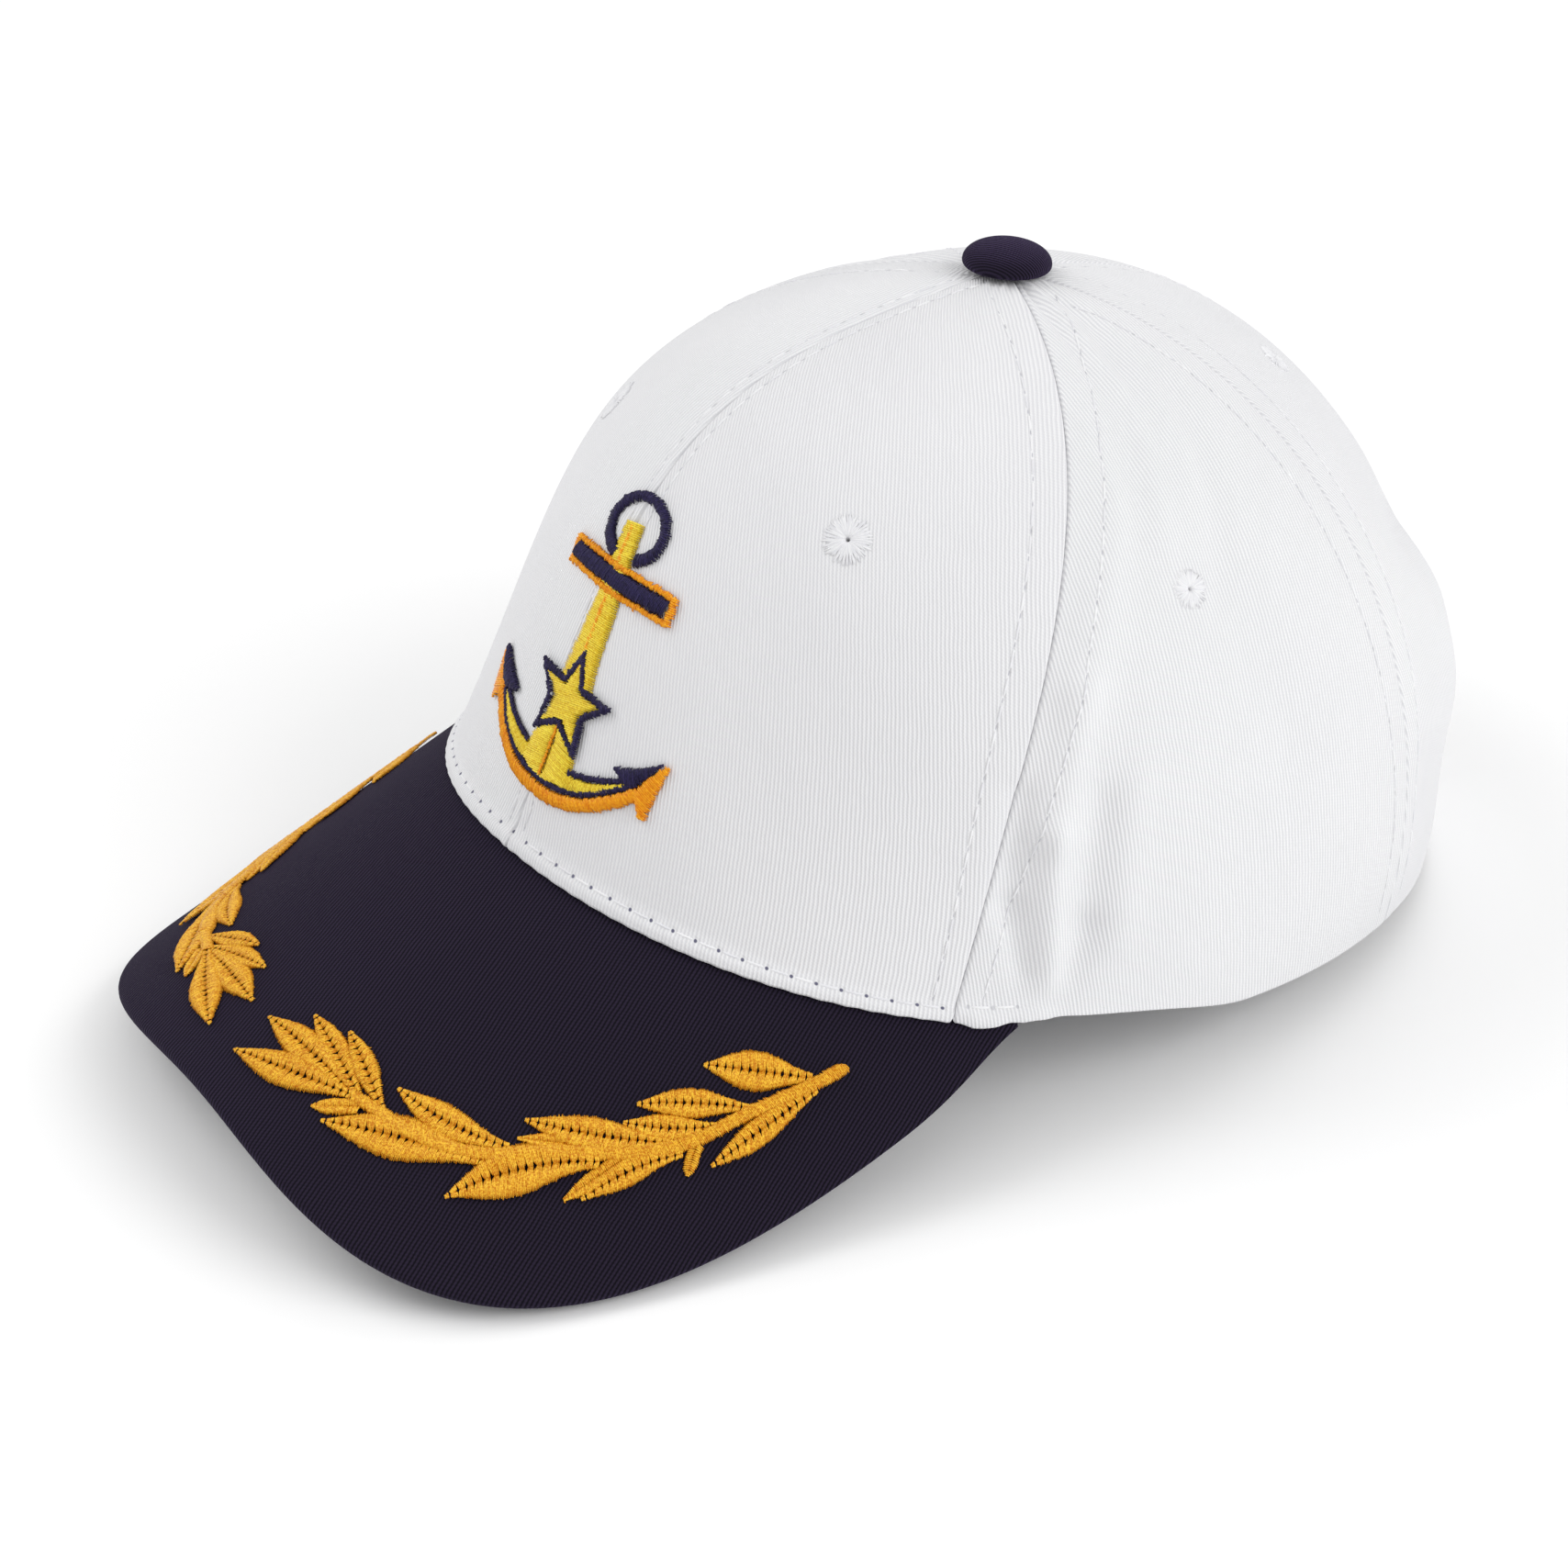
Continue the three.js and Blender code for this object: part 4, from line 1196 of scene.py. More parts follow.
@dataclass
class ClothPanel:
    """A panel of the crown: what its kinds share."""

    side: Side
    wall: float
    name: str
    grain: float
    eyelet_turn: float
    eyelet_up: float
    mid: float = 0.0
    draw: float = 0.0
    start_row: float = SEAM_ROW
    end_row: float = CENTRE_ROW

    def seams(self, turn: Array, up: Array) -> list[tuple[Array, Array]]:
        """Distance from each edge that is sewn, with the distance of its stitching."""
        raise NotImplementedError

    def row_at(self, row: float, up: Array) -> Array:
        """Distance of a stitch row from its seam; the wide rows close in towards the rim.

        Args:
            row: The row's full distance.
            up: Share of the way up.

        Returns:
            The distance in millimetres.
        """
        if row == CENTRE_ROW:
            return np.full_like(up, row)
        return row * (0.72 + 0.33 * smooth(self.climb(up), 5.0, 60.0))

    def place(self, pattern: Array) -> tuple[Array, Array]:
        """Turn, without its sign, and share of the way up for each pattern place."""
        raise NotImplementedError

    def climb(self, up: Array) -> Array:
        """Length up the panel's middle line at a share of the way up."""
        return np.interp(up, FORM.shares, FORM.climb(self.mid))

    def lip(self, turn: Array, up: Array) -> Array:
        """Relief of the turned lip over the visor, puffed up to its stitching.

        Args:
            turn: Turn without its sign.
            up: Share of the way up.

        Returns:
            The relief in millimetres, positive outward.
        """
        above = self.climb(up)
        on_visor = 1 - smooth(turn, FORM.visor_half_turn + 1, FORM.visor_half_turn + 6)
        puff = SEWING.lip_puff * (1 - smooth(above, 1.9, 4.2))
        body = puff - SEWING.lip_turn * (1 - smooth(above, 0.0, 0.9))
        dip = -SEWING.lip_row_depth * bell(above - LIP_ROW, SEWING.lip_row_spread)
        around = np.interp(turn, FORM.turns, FORM.rim_arc)
        wave = SEWING.lip_wave * np.sin(around * math.tau / STITCH) * (above < LIP_ROW)
        low = (1 - smooth(above, 1.6, 3.2)) * (turn > FRONT_SEAM.rim)
        bunch = SEWING.bunch * bell(turn - SEWING.bunch_turn, SEWING.bunch_spread) * low
        return on_visor * (body + dip + wave + bunch)

    def dress(self, turn: Array, up: Array) -> Array:
        """Relief of seams, lip and stitching on the outer face.

        Args:
            turn: Turn without its sign.
            up: Share of the way up.

        Returns:
            The relief in millimetres, positive outward.
        """
        total = self.lip(turn, up)
        for distance, row in self.seams(turn, up):
            groove = -SEWING.seam_depth * bell(distance, SEWING.seam_spread)
            between = smooth(distance, 0.0, 0.8) * (1 - smooth(distance, row - 0.4, row + 1.6))
            dip = -SEWING.row_depth * bell(distance - row, SEWING.row_spread)
            total = total + groove + SEWING.swell * np.minimum(row, 4.0) * between + dip
        return total + self.gathers(turn, up)

    def gathers(self, turn: Array, up: Array) -> Array:
        """Relief of the small puckers drawn in under the button.

        Args:
            turn: Turn without its sign.
            up: Share of the way up.

        Returns:
            The relief in millimetres, positive outward.
        """
        radius = FORM.radius(turn, up)
        signed = np.radians(self.side.value * turn)
        waves = np.sin(17 * signed + 0.6) + 0.7 * np.sin(29 * signed + 2.1) + 0.5 * np.sin(41 * signed)
        return SEWING.gather * waves * bell(radius - SEWING.gather_radius, SEWING.gather_spread)

    def point(self, turn: Array, up: Array, lift: Array, outer: Array) -> Array:
        """A point of the shaped cloth.

        Args:
            turn: Turn without its sign.
            up: Share of the way up.
            lift: Distance off the crown's outer face.
            outer: 1 on the outer face and 0 on the inner one.

        Returns:
            The place in millimetres on the upright cap.
        """
        signed = self.side.value * turn
        foot = np.zeros_like(up)
        point = FORM.crown_point(signed, up, lift + outer * self.dress(turn, up))
        hem = FORM.crown_point(signed, foot, lift + outer * self.dress(turn, foot))
        level = FORM.rim_height(hem[..., 0], hem[..., 1], signed) - hem[..., 2]
        point[..., 2] += level * (1 - smooth(self.climb(up), 0.0, 4.0))
        return point

    def sewn(self, turn: Array, up: Array) -> tuple[Array, Array]:
        """Points of the outer face and their normals, for stitches to lie on."""
        point = self.point(turn, up, np.zeros_like(up), np.ones_like(up))
        return point, FORM.crown_normal(self.side.value * turn, up)

    def finish(
        self, cloth: bmesh.types.BMesh, rows: tuple[NeedleRow, ...], maps: dict[str, Lengths]
    ) -> bpy.types.Object:
        """Shapes a cut slab, cuts its eyelet and lays its UV maps.

        Args:
            cloth: The flat slab.
            rows: Needle rows of its finish.
            maps: Functions from turn and share to the two lengths of each further UV map.

        Returns:
            The finished panel.
        """
        pattern = pattern_of(cloth)
        turn, up = self.place(pattern)
        outer = np.clip(1 + pattern[:, 2] / self.wall, 0, 1)
        move_to(cloth, FORM.settle(self.point(turn, up, pattern[:, 2], outer)))
        here, there = np.array([self.side.value * self.eyelet_turn]), np.array([self.eyelet_up])
        centre = FORM.settle(FORM.crown_point(here, there, np.zeros(1)))[0]
        outward = FORM.settle(FORM.crown_point(here, there, np.ones(1)))[0] - centre
        pierce(cloth, centre, outward / np.linalg.norm(outward), SEWING.eyelet_radius * MM)
        mesh = to_mesh(cloth, self.name)
        turn, up = self.place(read_pattern(mesh))
        across = np.radians(turn - self.mid) * FORM.radius(turn, up)
        drawn = self.side.value * across + self.draw * self.climb(up) ** 2 / 2
        lay_uv(mesh, "cloth", np.stack([drawn, self.climb(up)], -1))
        for label, lengths in maps.items():
            lay_uv(mesh, label, np.stack(lengths(turn, up), -1))
        return show(self.name, mesh, [white_twill(self.name, self.grain, rows)], "white_twill", self.name)

    def seam_map(self, which: int) -> Lengths:
        """Gives the UV function of a seam: distance, eased so that its row lies evenly, and height.

        Args:
            which: The seam's index in what seams gives.

        Returns:
            The function, of turn and share.
        """
        plain = (self.start_row, self.end_row)[which]

        def lengths(turn: Array, up: Array) -> tuple[Array, Array]:
            """Eased distance from the seam and length up the panel."""
            distance, row = self.seams(turn, up)[which]
            return distance * plain / row, self.climb(up)

        return lengths

    def seam_line(self, seam: Seam, row: float, sign: int) -> Line:
        """Gives the function of a stitch row beside a seam.

        Args:
            seam: The seam.
            row: The row's full distance.
            sign: 1 towards greater turns, or else -1.

        Returns:
            The function, of lengths up the panel.
        """

        def line(along: Array) -> tuple[Array, Array]:
            """Points and normals at lengths up the panel.

            Args:
                along: The lengths.

            Returns:
                The points and the normals.
            """
            up = np.interp(along, FORM.climb(self.mid), FORM.shares)
            turn, away = seam.turn(up), self.row_at(row, up)
            for _ in range(3):
                turn = seam.turn(up / FORM.top_share(turn)) + sign * np.degrees(away / FORM.radius(turn, up))
            return self.sewn(turn, up)

        return line

    def rim_lengths(self, turn: Array, up: Array) -> tuple[Array, Array]:
        """Height above the rim and length round it, for the lip's needle row."""
        far_off = np.where(turn > FORM.visor_half_turn + 2, 50.0, 0.0)
        return self.climb(up) + far_off, np.interp(turn, FORM.turns, FORM.rim_arc)


@dataclass
class GorePanel(ClothPanel):
    """A front or side panel between two seams, from the rim to the hole under the button."""

    start: Seam = CENTRE_SEAM
    end: Seam = FRONT_SEAM
    start_row: float = CENTRE_ROW
    end_row: float = SEAM_ROW
    cell: float = 1.15
    tall: float = 146.0
    # Strength of the painted shade in the lip's needle holes and of their dents
    lip_depth: float = 0.9

    def __post_init__(self) -> None:
        """Works out the panel's middle line and its width along the rim."""
        self.mid = (self.start.rim + self.end.rim + self.start.top + self.end.top) / 4
        arcs = np.interp([self.start.rim, self.end.rim], FORM.turns, FORM.rim_arc)
        self.wide = float(arcs[1] - arcs[0])

    def place(self, pattern: Array) -> tuple[Array, Array]:
        """Turn, without its sign, and share of the way up for each pattern place.

        Args:
            pattern: Places on the flat cloth.

        Returns:
            The turns in degrees and the shares.
        """
        share = np.clip(pattern[:, 1] / self.tall, 0, 1)
        first, last = self.start.turn(share), self.end.turn(share)
        gap = SEWING.seam_gap
        first = first + np.degrees(gap / FORM.radius(first, share * FORM.top_share(first)))
        last = last - np.degrees(gap / FORM.radius(last, share * FORM.top_share(last)))
        turn = first + (last - first) * np.clip(pattern[:, 0] / self.wide, 0, 1)
        return turn, share * FORM.top_share(turn)

    def from_seam(self, seam: Seam, turn: Array, up: Array) -> Array:
        """Distance from a seam."""
        return np.abs(np.radians(turn - seam.turn(up / FORM.top_share(turn)))) * FORM.radius(turn, up)

    def seams(self, turn: Array, up: Array) -> list[tuple[Array, Array]]:
        """Distance from each seam, with the distance of its stitching.

        Args:
            turn: Turn without its sign.
            up: Share of the way up.

        Returns:
            A pair of lengths for each seam.
        """
        return [
            (self.from_seam(self.start, turn, up), self.row_at(self.start_row, up)),
            (self.from_seam(self.end, turn, up), self.row_at(self.end_row, up)),
        ]

    def build(self, stitches: Strands) -> bpy.types.Object:
        """Makes the panel and sews its rows.

        Args:
            stitches: Where its threads go.

        Returns:
            The finished panel.
        """
        hem = (0.0, 0.7, 1.2, 1.7, 2.2, 2.6, 2.9, 3.2, 3.7, 4.4, 5.4)
        across = graded(self.wide, self.cell, SEAM_CELLS)
        up = graded(self.tall, self.cell, hem, (0.0, 0.8))
        cloth = slab(across, up, self.wall, lambda middle: middle.y < 1e-4, 0.6)
        rows = (
            NeedleRow("start_seam", self.start_row),
            NeedleRow("end_seam", self.end_row),
            # The lip's row, with dark painted shade in its needle holes
            NeedleRow("rim", LIP_ROW, length=0.75, width=0.6, colour=LIP_HOLE_SHADE, depth=self.lip_depth),
        )
        maps = {"start_seam": self.seam_map(0), "end_seam": self.seam_map(1), "rim": self.rim_lengths}
        piece = self.finish(cloth, rows, maps)
        for seam, row, sign in ((self.start, self.start_row, 1), (self.end, self.end_row, -1)):
            topstitch(stitches, self.seam_line(seam, row, sign), 4.4, self.row_end(row))
        limits = (self.start.rim, min(self.end.rim, FORM.visor_half_turn + 1))
        arc = np.interp(limits, FORM.turns, FORM.rim_arc)
        if self.start.rim < FORM.visor_half_turn:
            topstitch(stitches, self.rim_line, float(arc[0]) + 0.5, float(arc[1]), 0.24)
        return piece

    def row_end(self, row: float) -> float:
        """Length up the panel at which a row closes in on the button.

        Args:
            row: The row's full distance.

        Returns:
            The length in millimetres.
        """
        shares = np.linspace(0.5, 1.0, 101)
        angle = np.radians(self.end.turn(shares) - self.start.turn(shares))
        narrow = angle * FORM.radius(np.full(101, self.mid), shares) <= 2.2 * row + 3
        return float(self.climb(shares[np.argmax(narrow)] if narrow.any() else 0.94))

    def rim_line(self, along: Array) -> tuple[Array, Array]:
        """Points and normals of the lip's stitch row at lengths round the rim.

        Args:
            along: The lengths.

        Returns:
            The points and the normals.
        """
        turn = np.interp(along, FORM.rim_arc, FORM.turns)
        up = np.full_like(turn, np.interp(LIP_ROW, FORM.climb(self.mid), FORM.shares))
        return self.sewn(turn, up)


@dataclass
class BackPanel(ClothPanel):
    """A back panel, cut in rays that fan out from the foot of the arch to the seam and the top."""

    wide: float = 150.0
    tall: float = 80.0

    def __post_init__(self) -> None:
        """Works out the sizes of the arch and the ray that meets the top of the seam."""
        self.mid = 150.0
        self.span = 180 - BACK_SEAM.rim
        self.arch_turn = math.degrees(FORM.arch_half_width / FORM.back)
        self.arch_share = FORM.share_at_height(180.0, FORM.arch_height)
        self.corner = math.atan2(180 - BACK_SEAM.top, self.span)

    def arch_reach(self, s: Array, c: Array) -> Array:
        """Reach of the arch's edge on rays with these sines and cosines."""
        return squircle(s * self.span / self.arch_turn, c / self.arch_share, FORM.arch_roundness)

    def place(self, pattern: Array) -> tuple[Array, Array]:
        """Turn, without its sign, and share of the way up for each pattern place.

        Args:
            pattern: Places on the flat cloth.

        Returns:
            The turns in degrees and the shares.
        """
        bearing = np.clip(pattern[:, 0] / self.wide, 0, 1) * math.pi / 2
        out = np.clip(pattern[:, 1] / self.tall, 0, 1)
        s, c = np.sin(bearing), np.cos(bearing)
        near = self.arch_reach(s, c)
        lean = BACK_SEAM.top - BACK_SEAM.rim
        far = np.minimum(self.span / (s * self.span + c * lean), 1 / np.maximum(c, 1e-6))
        reach = near + (far - near) * out
        share = np.clip(reach * c, 0, 1)
        turn = 180 - reach * s * self.span
        seam = BACK_SEAM.turn(share)
        least = seam + np.degrees(SEWING.seam_gap / FORM.radius(seam, share * FORM.top_share(seam)))
        middle = np.full_like(turn, 180.0)
        most = 180 - np.degrees(SEWING.seam_gap / FORM.radius(middle, share * FORM.top_share(middle)))
        inside = np.clip(turn, least, most)
        return inside, share * FORM.top_share(inside)

    def from_arch(self, turn: Array, up: Array) -> Array:
        """Distance from the arch's edge, measured on the ray through its foot.

        Args:
            turn: Turn without its sign.
            up: Share of the way up.

        Returns:
            The distance in millimetres.
        """
        x = (180 - turn) / self.arch_turn
        y = np.maximum(up / FORM.top_share(turn), 1e-6) / self.arch_share
        size = (np.abs(x) ** FORM.arch_roundness + y**FORM.arch_roundness) ** (1 / FORM.arch_roundness)
        size = np.maximum(size, 1e-3)
        foot_x, foot_y = (180 - turn) / size, up / size
        across = np.radians(180 - turn - foot_x) * FORM.radius(turn, up)
        return np.hypot(across, self.climb(up) - self.climb(foot_y))

    def seams(self, turn: Array, up: Array) -> list[tuple[Array, Array]]:
        """Distance from the two seams, with the distance of their stitching.

        Args:
            turn: Turn without its sign.
            up: Share of the way up.

        Returns:
            A pair of lengths for each seam.
        """
        share = up / FORM.top_share(turn)
        radius = FORM.radius(turn, up)
        return [
            (np.radians(turn - BACK_SEAM.turn(share)) * radius, self.row_at(SEAM_ROW, up)),
            (np.radians(180 - turn) * radius, self.row_at(CENTRE_ROW, up)),
        ]

    def dress(self, turn: Array, up: Array) -> Array:
        """Relief of seams, and of the hem round the arch.

        Args:
            turn: Turn without its sign.
            up: Share of the way up.

        Returns:
            The relief in millimetres, positive outward.
        """
        distance = self.from_arch(turn, up)
        hem = SEWING.hem_swell * (1 - smooth(distance, ARCH_ROW - 0.6, ARCH_ROW + 1.4))
        dip = -SEWING.hem_depth * bell(distance - ARCH_ROW, SEWING.row_spread)
        return super().dress(turn, up) + hem + dip

    def build(self, stitches: Strands) -> bpy.types.Object:
        """Makes the panel and sews its rows.

        Args:
            stitches: Where its threads go.

        Returns:
            The finished panel.
        """
        across = graded(self.wide, 1.5, (0.0, 0.4, 0.9, 1.6, 2.6, 3.6), (0.0, 0.8, 1.6, 2.8))
        up = graded(self.tall, 1.05, (0.0, 0.8, 1.6, 2.4), SEAM_CELLS[:12])
        rim = self.wide

        def soft(middle: Vector) -> bool:
            """Whether an edge lies on the arch or on the rim."""
            return middle.y < 1e-4 or middle.x > rim - 1e-4

        cloth = slab(across, up, self.wall, soft, 0.5)
        rows = (NeedleRow("start_seam", SEAM_ROW), NeedleRow("end_seam", CENTRE_ROW))
        maps = {"start_seam": self.seam_map(0), "end_seam": self.seam_map(1)}
        piece = self.finish(cloth, rows, maps)
        topstitch(stitches, self.seam_line(BACK_SEAM, SEAM_ROW, 1), 4.4, 125.0)
        arch_top = float(self.climb(np.array(self.arch_share)))
        topstitch(stitches, self.seam_line(Seam(180.0, 180.0), CENTRE_ROW, -1), arch_top + 7, 132.0)
        self.sew_arch(stitches)
        return piece

    def sew_arch(self, stitches: Strands) -> None:
        """Sews the row along the hem of the arch.

        Args:
            stitches: Where its threads go.
        """
        bearing = np.linspace(0.02, math.pi / 2 - 0.02, 240)
        s, c = np.sin(bearing), np.cos(bearing)
        reach = self.arch_reach(s, c)
        for _ in range(24):
            turn, share = 180 - reach * s * self.span, reach * c
            reach = reach + 0.012 * (ARCH_ROW - self.from_arch(turn, share * FORM.top_share(turn))) / ARCH_ROW
        turn, up = 180 - reach * s * self.span, reach * c
        arc = FORM._arc(FORM.smooth_crown(turn, up))

        def line(along: Array) -> tuple[Array, Array]:
            """Points and normals at lengths down the arch."""
            return self.sewn(np.interp(along, arc, turn), np.interp(along, arc, up))

        topstitch(stitches, line, 0.0, float(arc[-1]))


@dataclass
class Crown:
    """The six panels of the crown with their topstitching and sewn eyelets."""

    sheet_cuts: dict[str, tuple[float, float, float]] = field(
        default_factory=lambda: {
            "front_panel": (0.088, 0.148, 0.0097),
            "side_panel": (0.108, 0.146, 0.0097),
            "back_panel": (0.104, 0.146, 0.0092),
        }
    )

    def panels(self, side: Side) -> list[ClothPanel]:
        """The three panels of one half.

        Args:
            side: The half.

        Returns:
            The unfinished panels.
        """
        label = side.label
        soft = FORM.soft_wall
        return [
            GorePanel(
                side, FORM.front_wall, f"front_panel_{label}", grain=0.0, eyelet_turn=31.2, eyelet_up=0.527,
                draw=0.004,
            ),
            GorePanel(
                side, soft, f"side_panel_{label}", grain=-4.0, eyelet_turn=83.0, eyelet_up=0.525,
                start=FRONT_SEAM, end=BACK_SEAM, start_row=SEAM_ROW, end_row=SEAM_ROW, lip_depth=0.25,
            ),
            BackPanel(side, soft, f"back_panel_{label}", grain=-4.0, eyelet_turn=150.0, eyelet_up=0.68),
        ]

    def build(self) -> None:
        """Makes the panels, their topstitching and their eyelets."""
        thread = WHITE_THREAD.build()
        for side in Side:
            for panel in self.panels(side):
                stitches = Strands()
                piece = panel.build(stitches)
                sewing = show_stitches(panel.name, stitches, thread)
                self.sew_eyelet(panel, thread)

    def sew_eyelet(self, panel: ClothPanel, thread: bpy.types.Material) -> None:
        """Binds a panel's eyelet with spokes of thread.

        Args:
            panel: The panel.
            thread: The thread's material.
        """
        kind = panel.name.split("_")[0]
        name = f"eyelet_{kind}_{panel.side.label}"
        turn, up = panel.side.value * panel.eyelet_turn, panel.eyelet_up
        centre = FORM.crown_point(np.array([turn]), np.array([up]), np.zeros(1))[0]
        normal = FORM.crown_normal(np.array([turn]), np.array([up]))[0]
        across = unit(np.cross((0.0, 0.0, 1.0), normal))
        above = np.cross(normal, across)
        chance = np.random.default_rng(len(name))
        strands = Strands()
        inner, outer, spokes = (0.3, 4.3, 104) if kind == "front" else (0.25, 3.6, 88)
        for layer in range(2):
            count = spokes if layer == 0 else spokes // 2
            bearing = np.arange(count) * math.tau / count + chance.normal(0, 0.03, count)
            ends = outer * (1 - 0.22 * layer) * chance.uniform(0.84, 1.06, count)
            share, lift = np.array([(0.0, -0.9), (0.12, -0.07), (0.4, 0.02), (0.8, 0.01), (1.0, -0.08)]).T
            reach = inner + (ends[:, None] - inner) * share
            angle = bearing[:, None] + 0.06 * chance.normal(0, 1, count)[:, None] * share
            lift = lift + 0.04 * layer
            flat = np.cos(angle)[..., None] * across + np.sin(angle)[..., None] * above
            path = centre + reach[..., None] * flat + lift[None, :, None] * normal
            strands.lay(path, np.broadcast_to(normal, path.shape), 0.155)
        mesh = strands.mesh(name, seed=7)
        show(name, mesh, [thread], "white_thread", name)


@dataclass
class Visor:
    """The stiffened visor, covered with navy twill over a rounded edge."""

    wide: float = 260.0
    tall: float = 80.0
    edge_radius: float = 1.35
    corner_ease: float = 1.9

    def place(self, pattern: Array) -> tuple[Array, Array]:
        """Plan place for each pattern place.

        Args:
            pattern: Places on the flat cloth.

        Returns:
            Millimetres across and back.
        """
        share = np.clip(pattern[:, 0] / self.wide, 0, 1) * 2 - 1
        out = np.clip(pattern[:, 1] / self.tall, 0, 1)
        rim_x, rim_y = FORM.rim_outline(share * FORM.visor_half_turn)
        tuck = 1 - FORM.visor_tuck / np.hypot(rim_x, rim_y)
        edge_x, edge_y = FORM.visor_edge(share)
        edge_x = edge_x - np.sign(share) * self.corner_ease * smooth(np.abs(share), 0.84, 1.0) ** 2
        return rim_x * tuck + (edge_x - rim_x * tuck) * out, rim_y * tuck + (edge_y - rim_y * tuck) * out

    def build(self) -> bpy.types.Object:
        """Makes the visor.

        Returns:
            The finished visor.
        """
        across = graded(self.wide, 1.6, (0.0, 1.5, 2.2))
        up = graded(self.tall, 1.6, (0.0, 1.6), (0.0, 1.5, 1.8, 2.2, 2.8, 3.4, 4.2))
        wide, tall = self.wide, self.tall

        def soft(middle: Vector) -> bool:
            """Whether an edge lies on the outer edge or on one of the two ends."""
            return middle.y > tall - 1e-4 or not 1e-4 < middle.x < wide - 1e-4

        cloth = slab(across, up, FORM.visor_thickness, soft, self.edge_radius, 5)
        pattern = pattern_of(cloth)
        x, y = self.place(pattern)
        move_to(cloth, FORM.settle(FORM.visor_point(x, y, pattern[:, 2])))
        mesh = to_mesh(cloth, "visor")
        x, y = self.place(read_pattern(mesh))
        along = (-y - FORM.front) / math.cos(math.radians(FORM.visor_slope))
        lay_uv(mesh, "cloth", np.stack([FORM.visor_bend * np.arcsin(x / FORM.visor_bend), along], -1))
        cloth = navy_twill("visor", grain=22.0, pitch=0.78, relief=0.16, sheen=0.06)
        return show("visor", mesh, [cloth], "navy_twill", "visor")


@dataclass
class TopButton:
    """The covered button: a cloth dome, turned under at its edge, on a shank through the crown."""

    radius: float = 8.2
    height: float = 5.4
    edge: float = 1.1
    shank_radius: float = 2.2
    shank_length: float = 6.0

    def profile(self) -> list[tuple[float, float]]:
        """Half section of the button, from the foot of the shank to the top.

        Returns:
            Pairs of radius and height.
        """
        low, rim = FORM.rest_gap + self.edge, self.radius - self.edge
        points = [(0.0, -self.shank_length), (self.shank_radius, -self.shank_length)]
        points.append((self.shank_radius, FORM.rest_gap))
        for k in range(7):
            bearing = -math.pi / 2 + k / 6 * math.pi / 2
            points.append((rim + self.edge * math.cos(bearing), low + self.edge * math.sin(bearing)))
        handles = (
            (self.radius, low), (self.radius, self.height * 0.72), (self.radius * 0.55, self.height),
            (0.0, self.height),
        )
        for k in range(1, 25):
            t = k / 24
            weights = ((1 - t) ** 3, 3 * t * (1 - t) ** 2, 3 * t * t * (1 - t), t**3)
            points.append(tuple(sum(w * p[n] for w, p in zip(weights, handles)) for n in (0, 1)))
        return points

    def build(self) -> bpy.types.Object:
        """Makes the button.

        Returns:
            The finished button.
        """
        dome = bmesh.new()
        verts = [dome.verts.new((radius, 0.0, height)) for radius, height in self.profile()]
        edges = [dome.edges.new(pair) for pair in zip(verts, verts[1:])]
        bmesh.ops.spin(
            dome, geom=verts + edges, axis=(0, 0, 1), cent=(0, 0, 0), angle=math.tau, steps=72, use_merge=True
        )
        bmesh.ops.remove_doubles(dome, verts=dome.verts[:], dist=1e-5)
        pattern = dome.verts.layers.float_vector.new("pattern")
        for vert in dome.verts:
            vert[pattern] = vert.co
        flat = pattern_of(dome)
        move_to(dome, FORM.settle(flat + np.array([0.0, FORM.apex_setback, FORM.height])))
        mesh = to_mesh(dome, "top_button")
        flat = read_pattern(mesh)
        reach = np.hypot(flat[:, 0], flat[:, 1])
        over = reach + np.maximum(self.height - flat[:, 2], 0.0) * reach / self.radius
        lay_uv(mesh, "cloth", flat[:, :2] * (over / np.maximum(reach, 1e-6))[:, None])
        cloth = navy_twill("button", grain=62.0, pitch=0.7, relief=0.2, sheen=0.14)
        return show("top_button", mesh, [cloth], "navy_twill", "top_button")


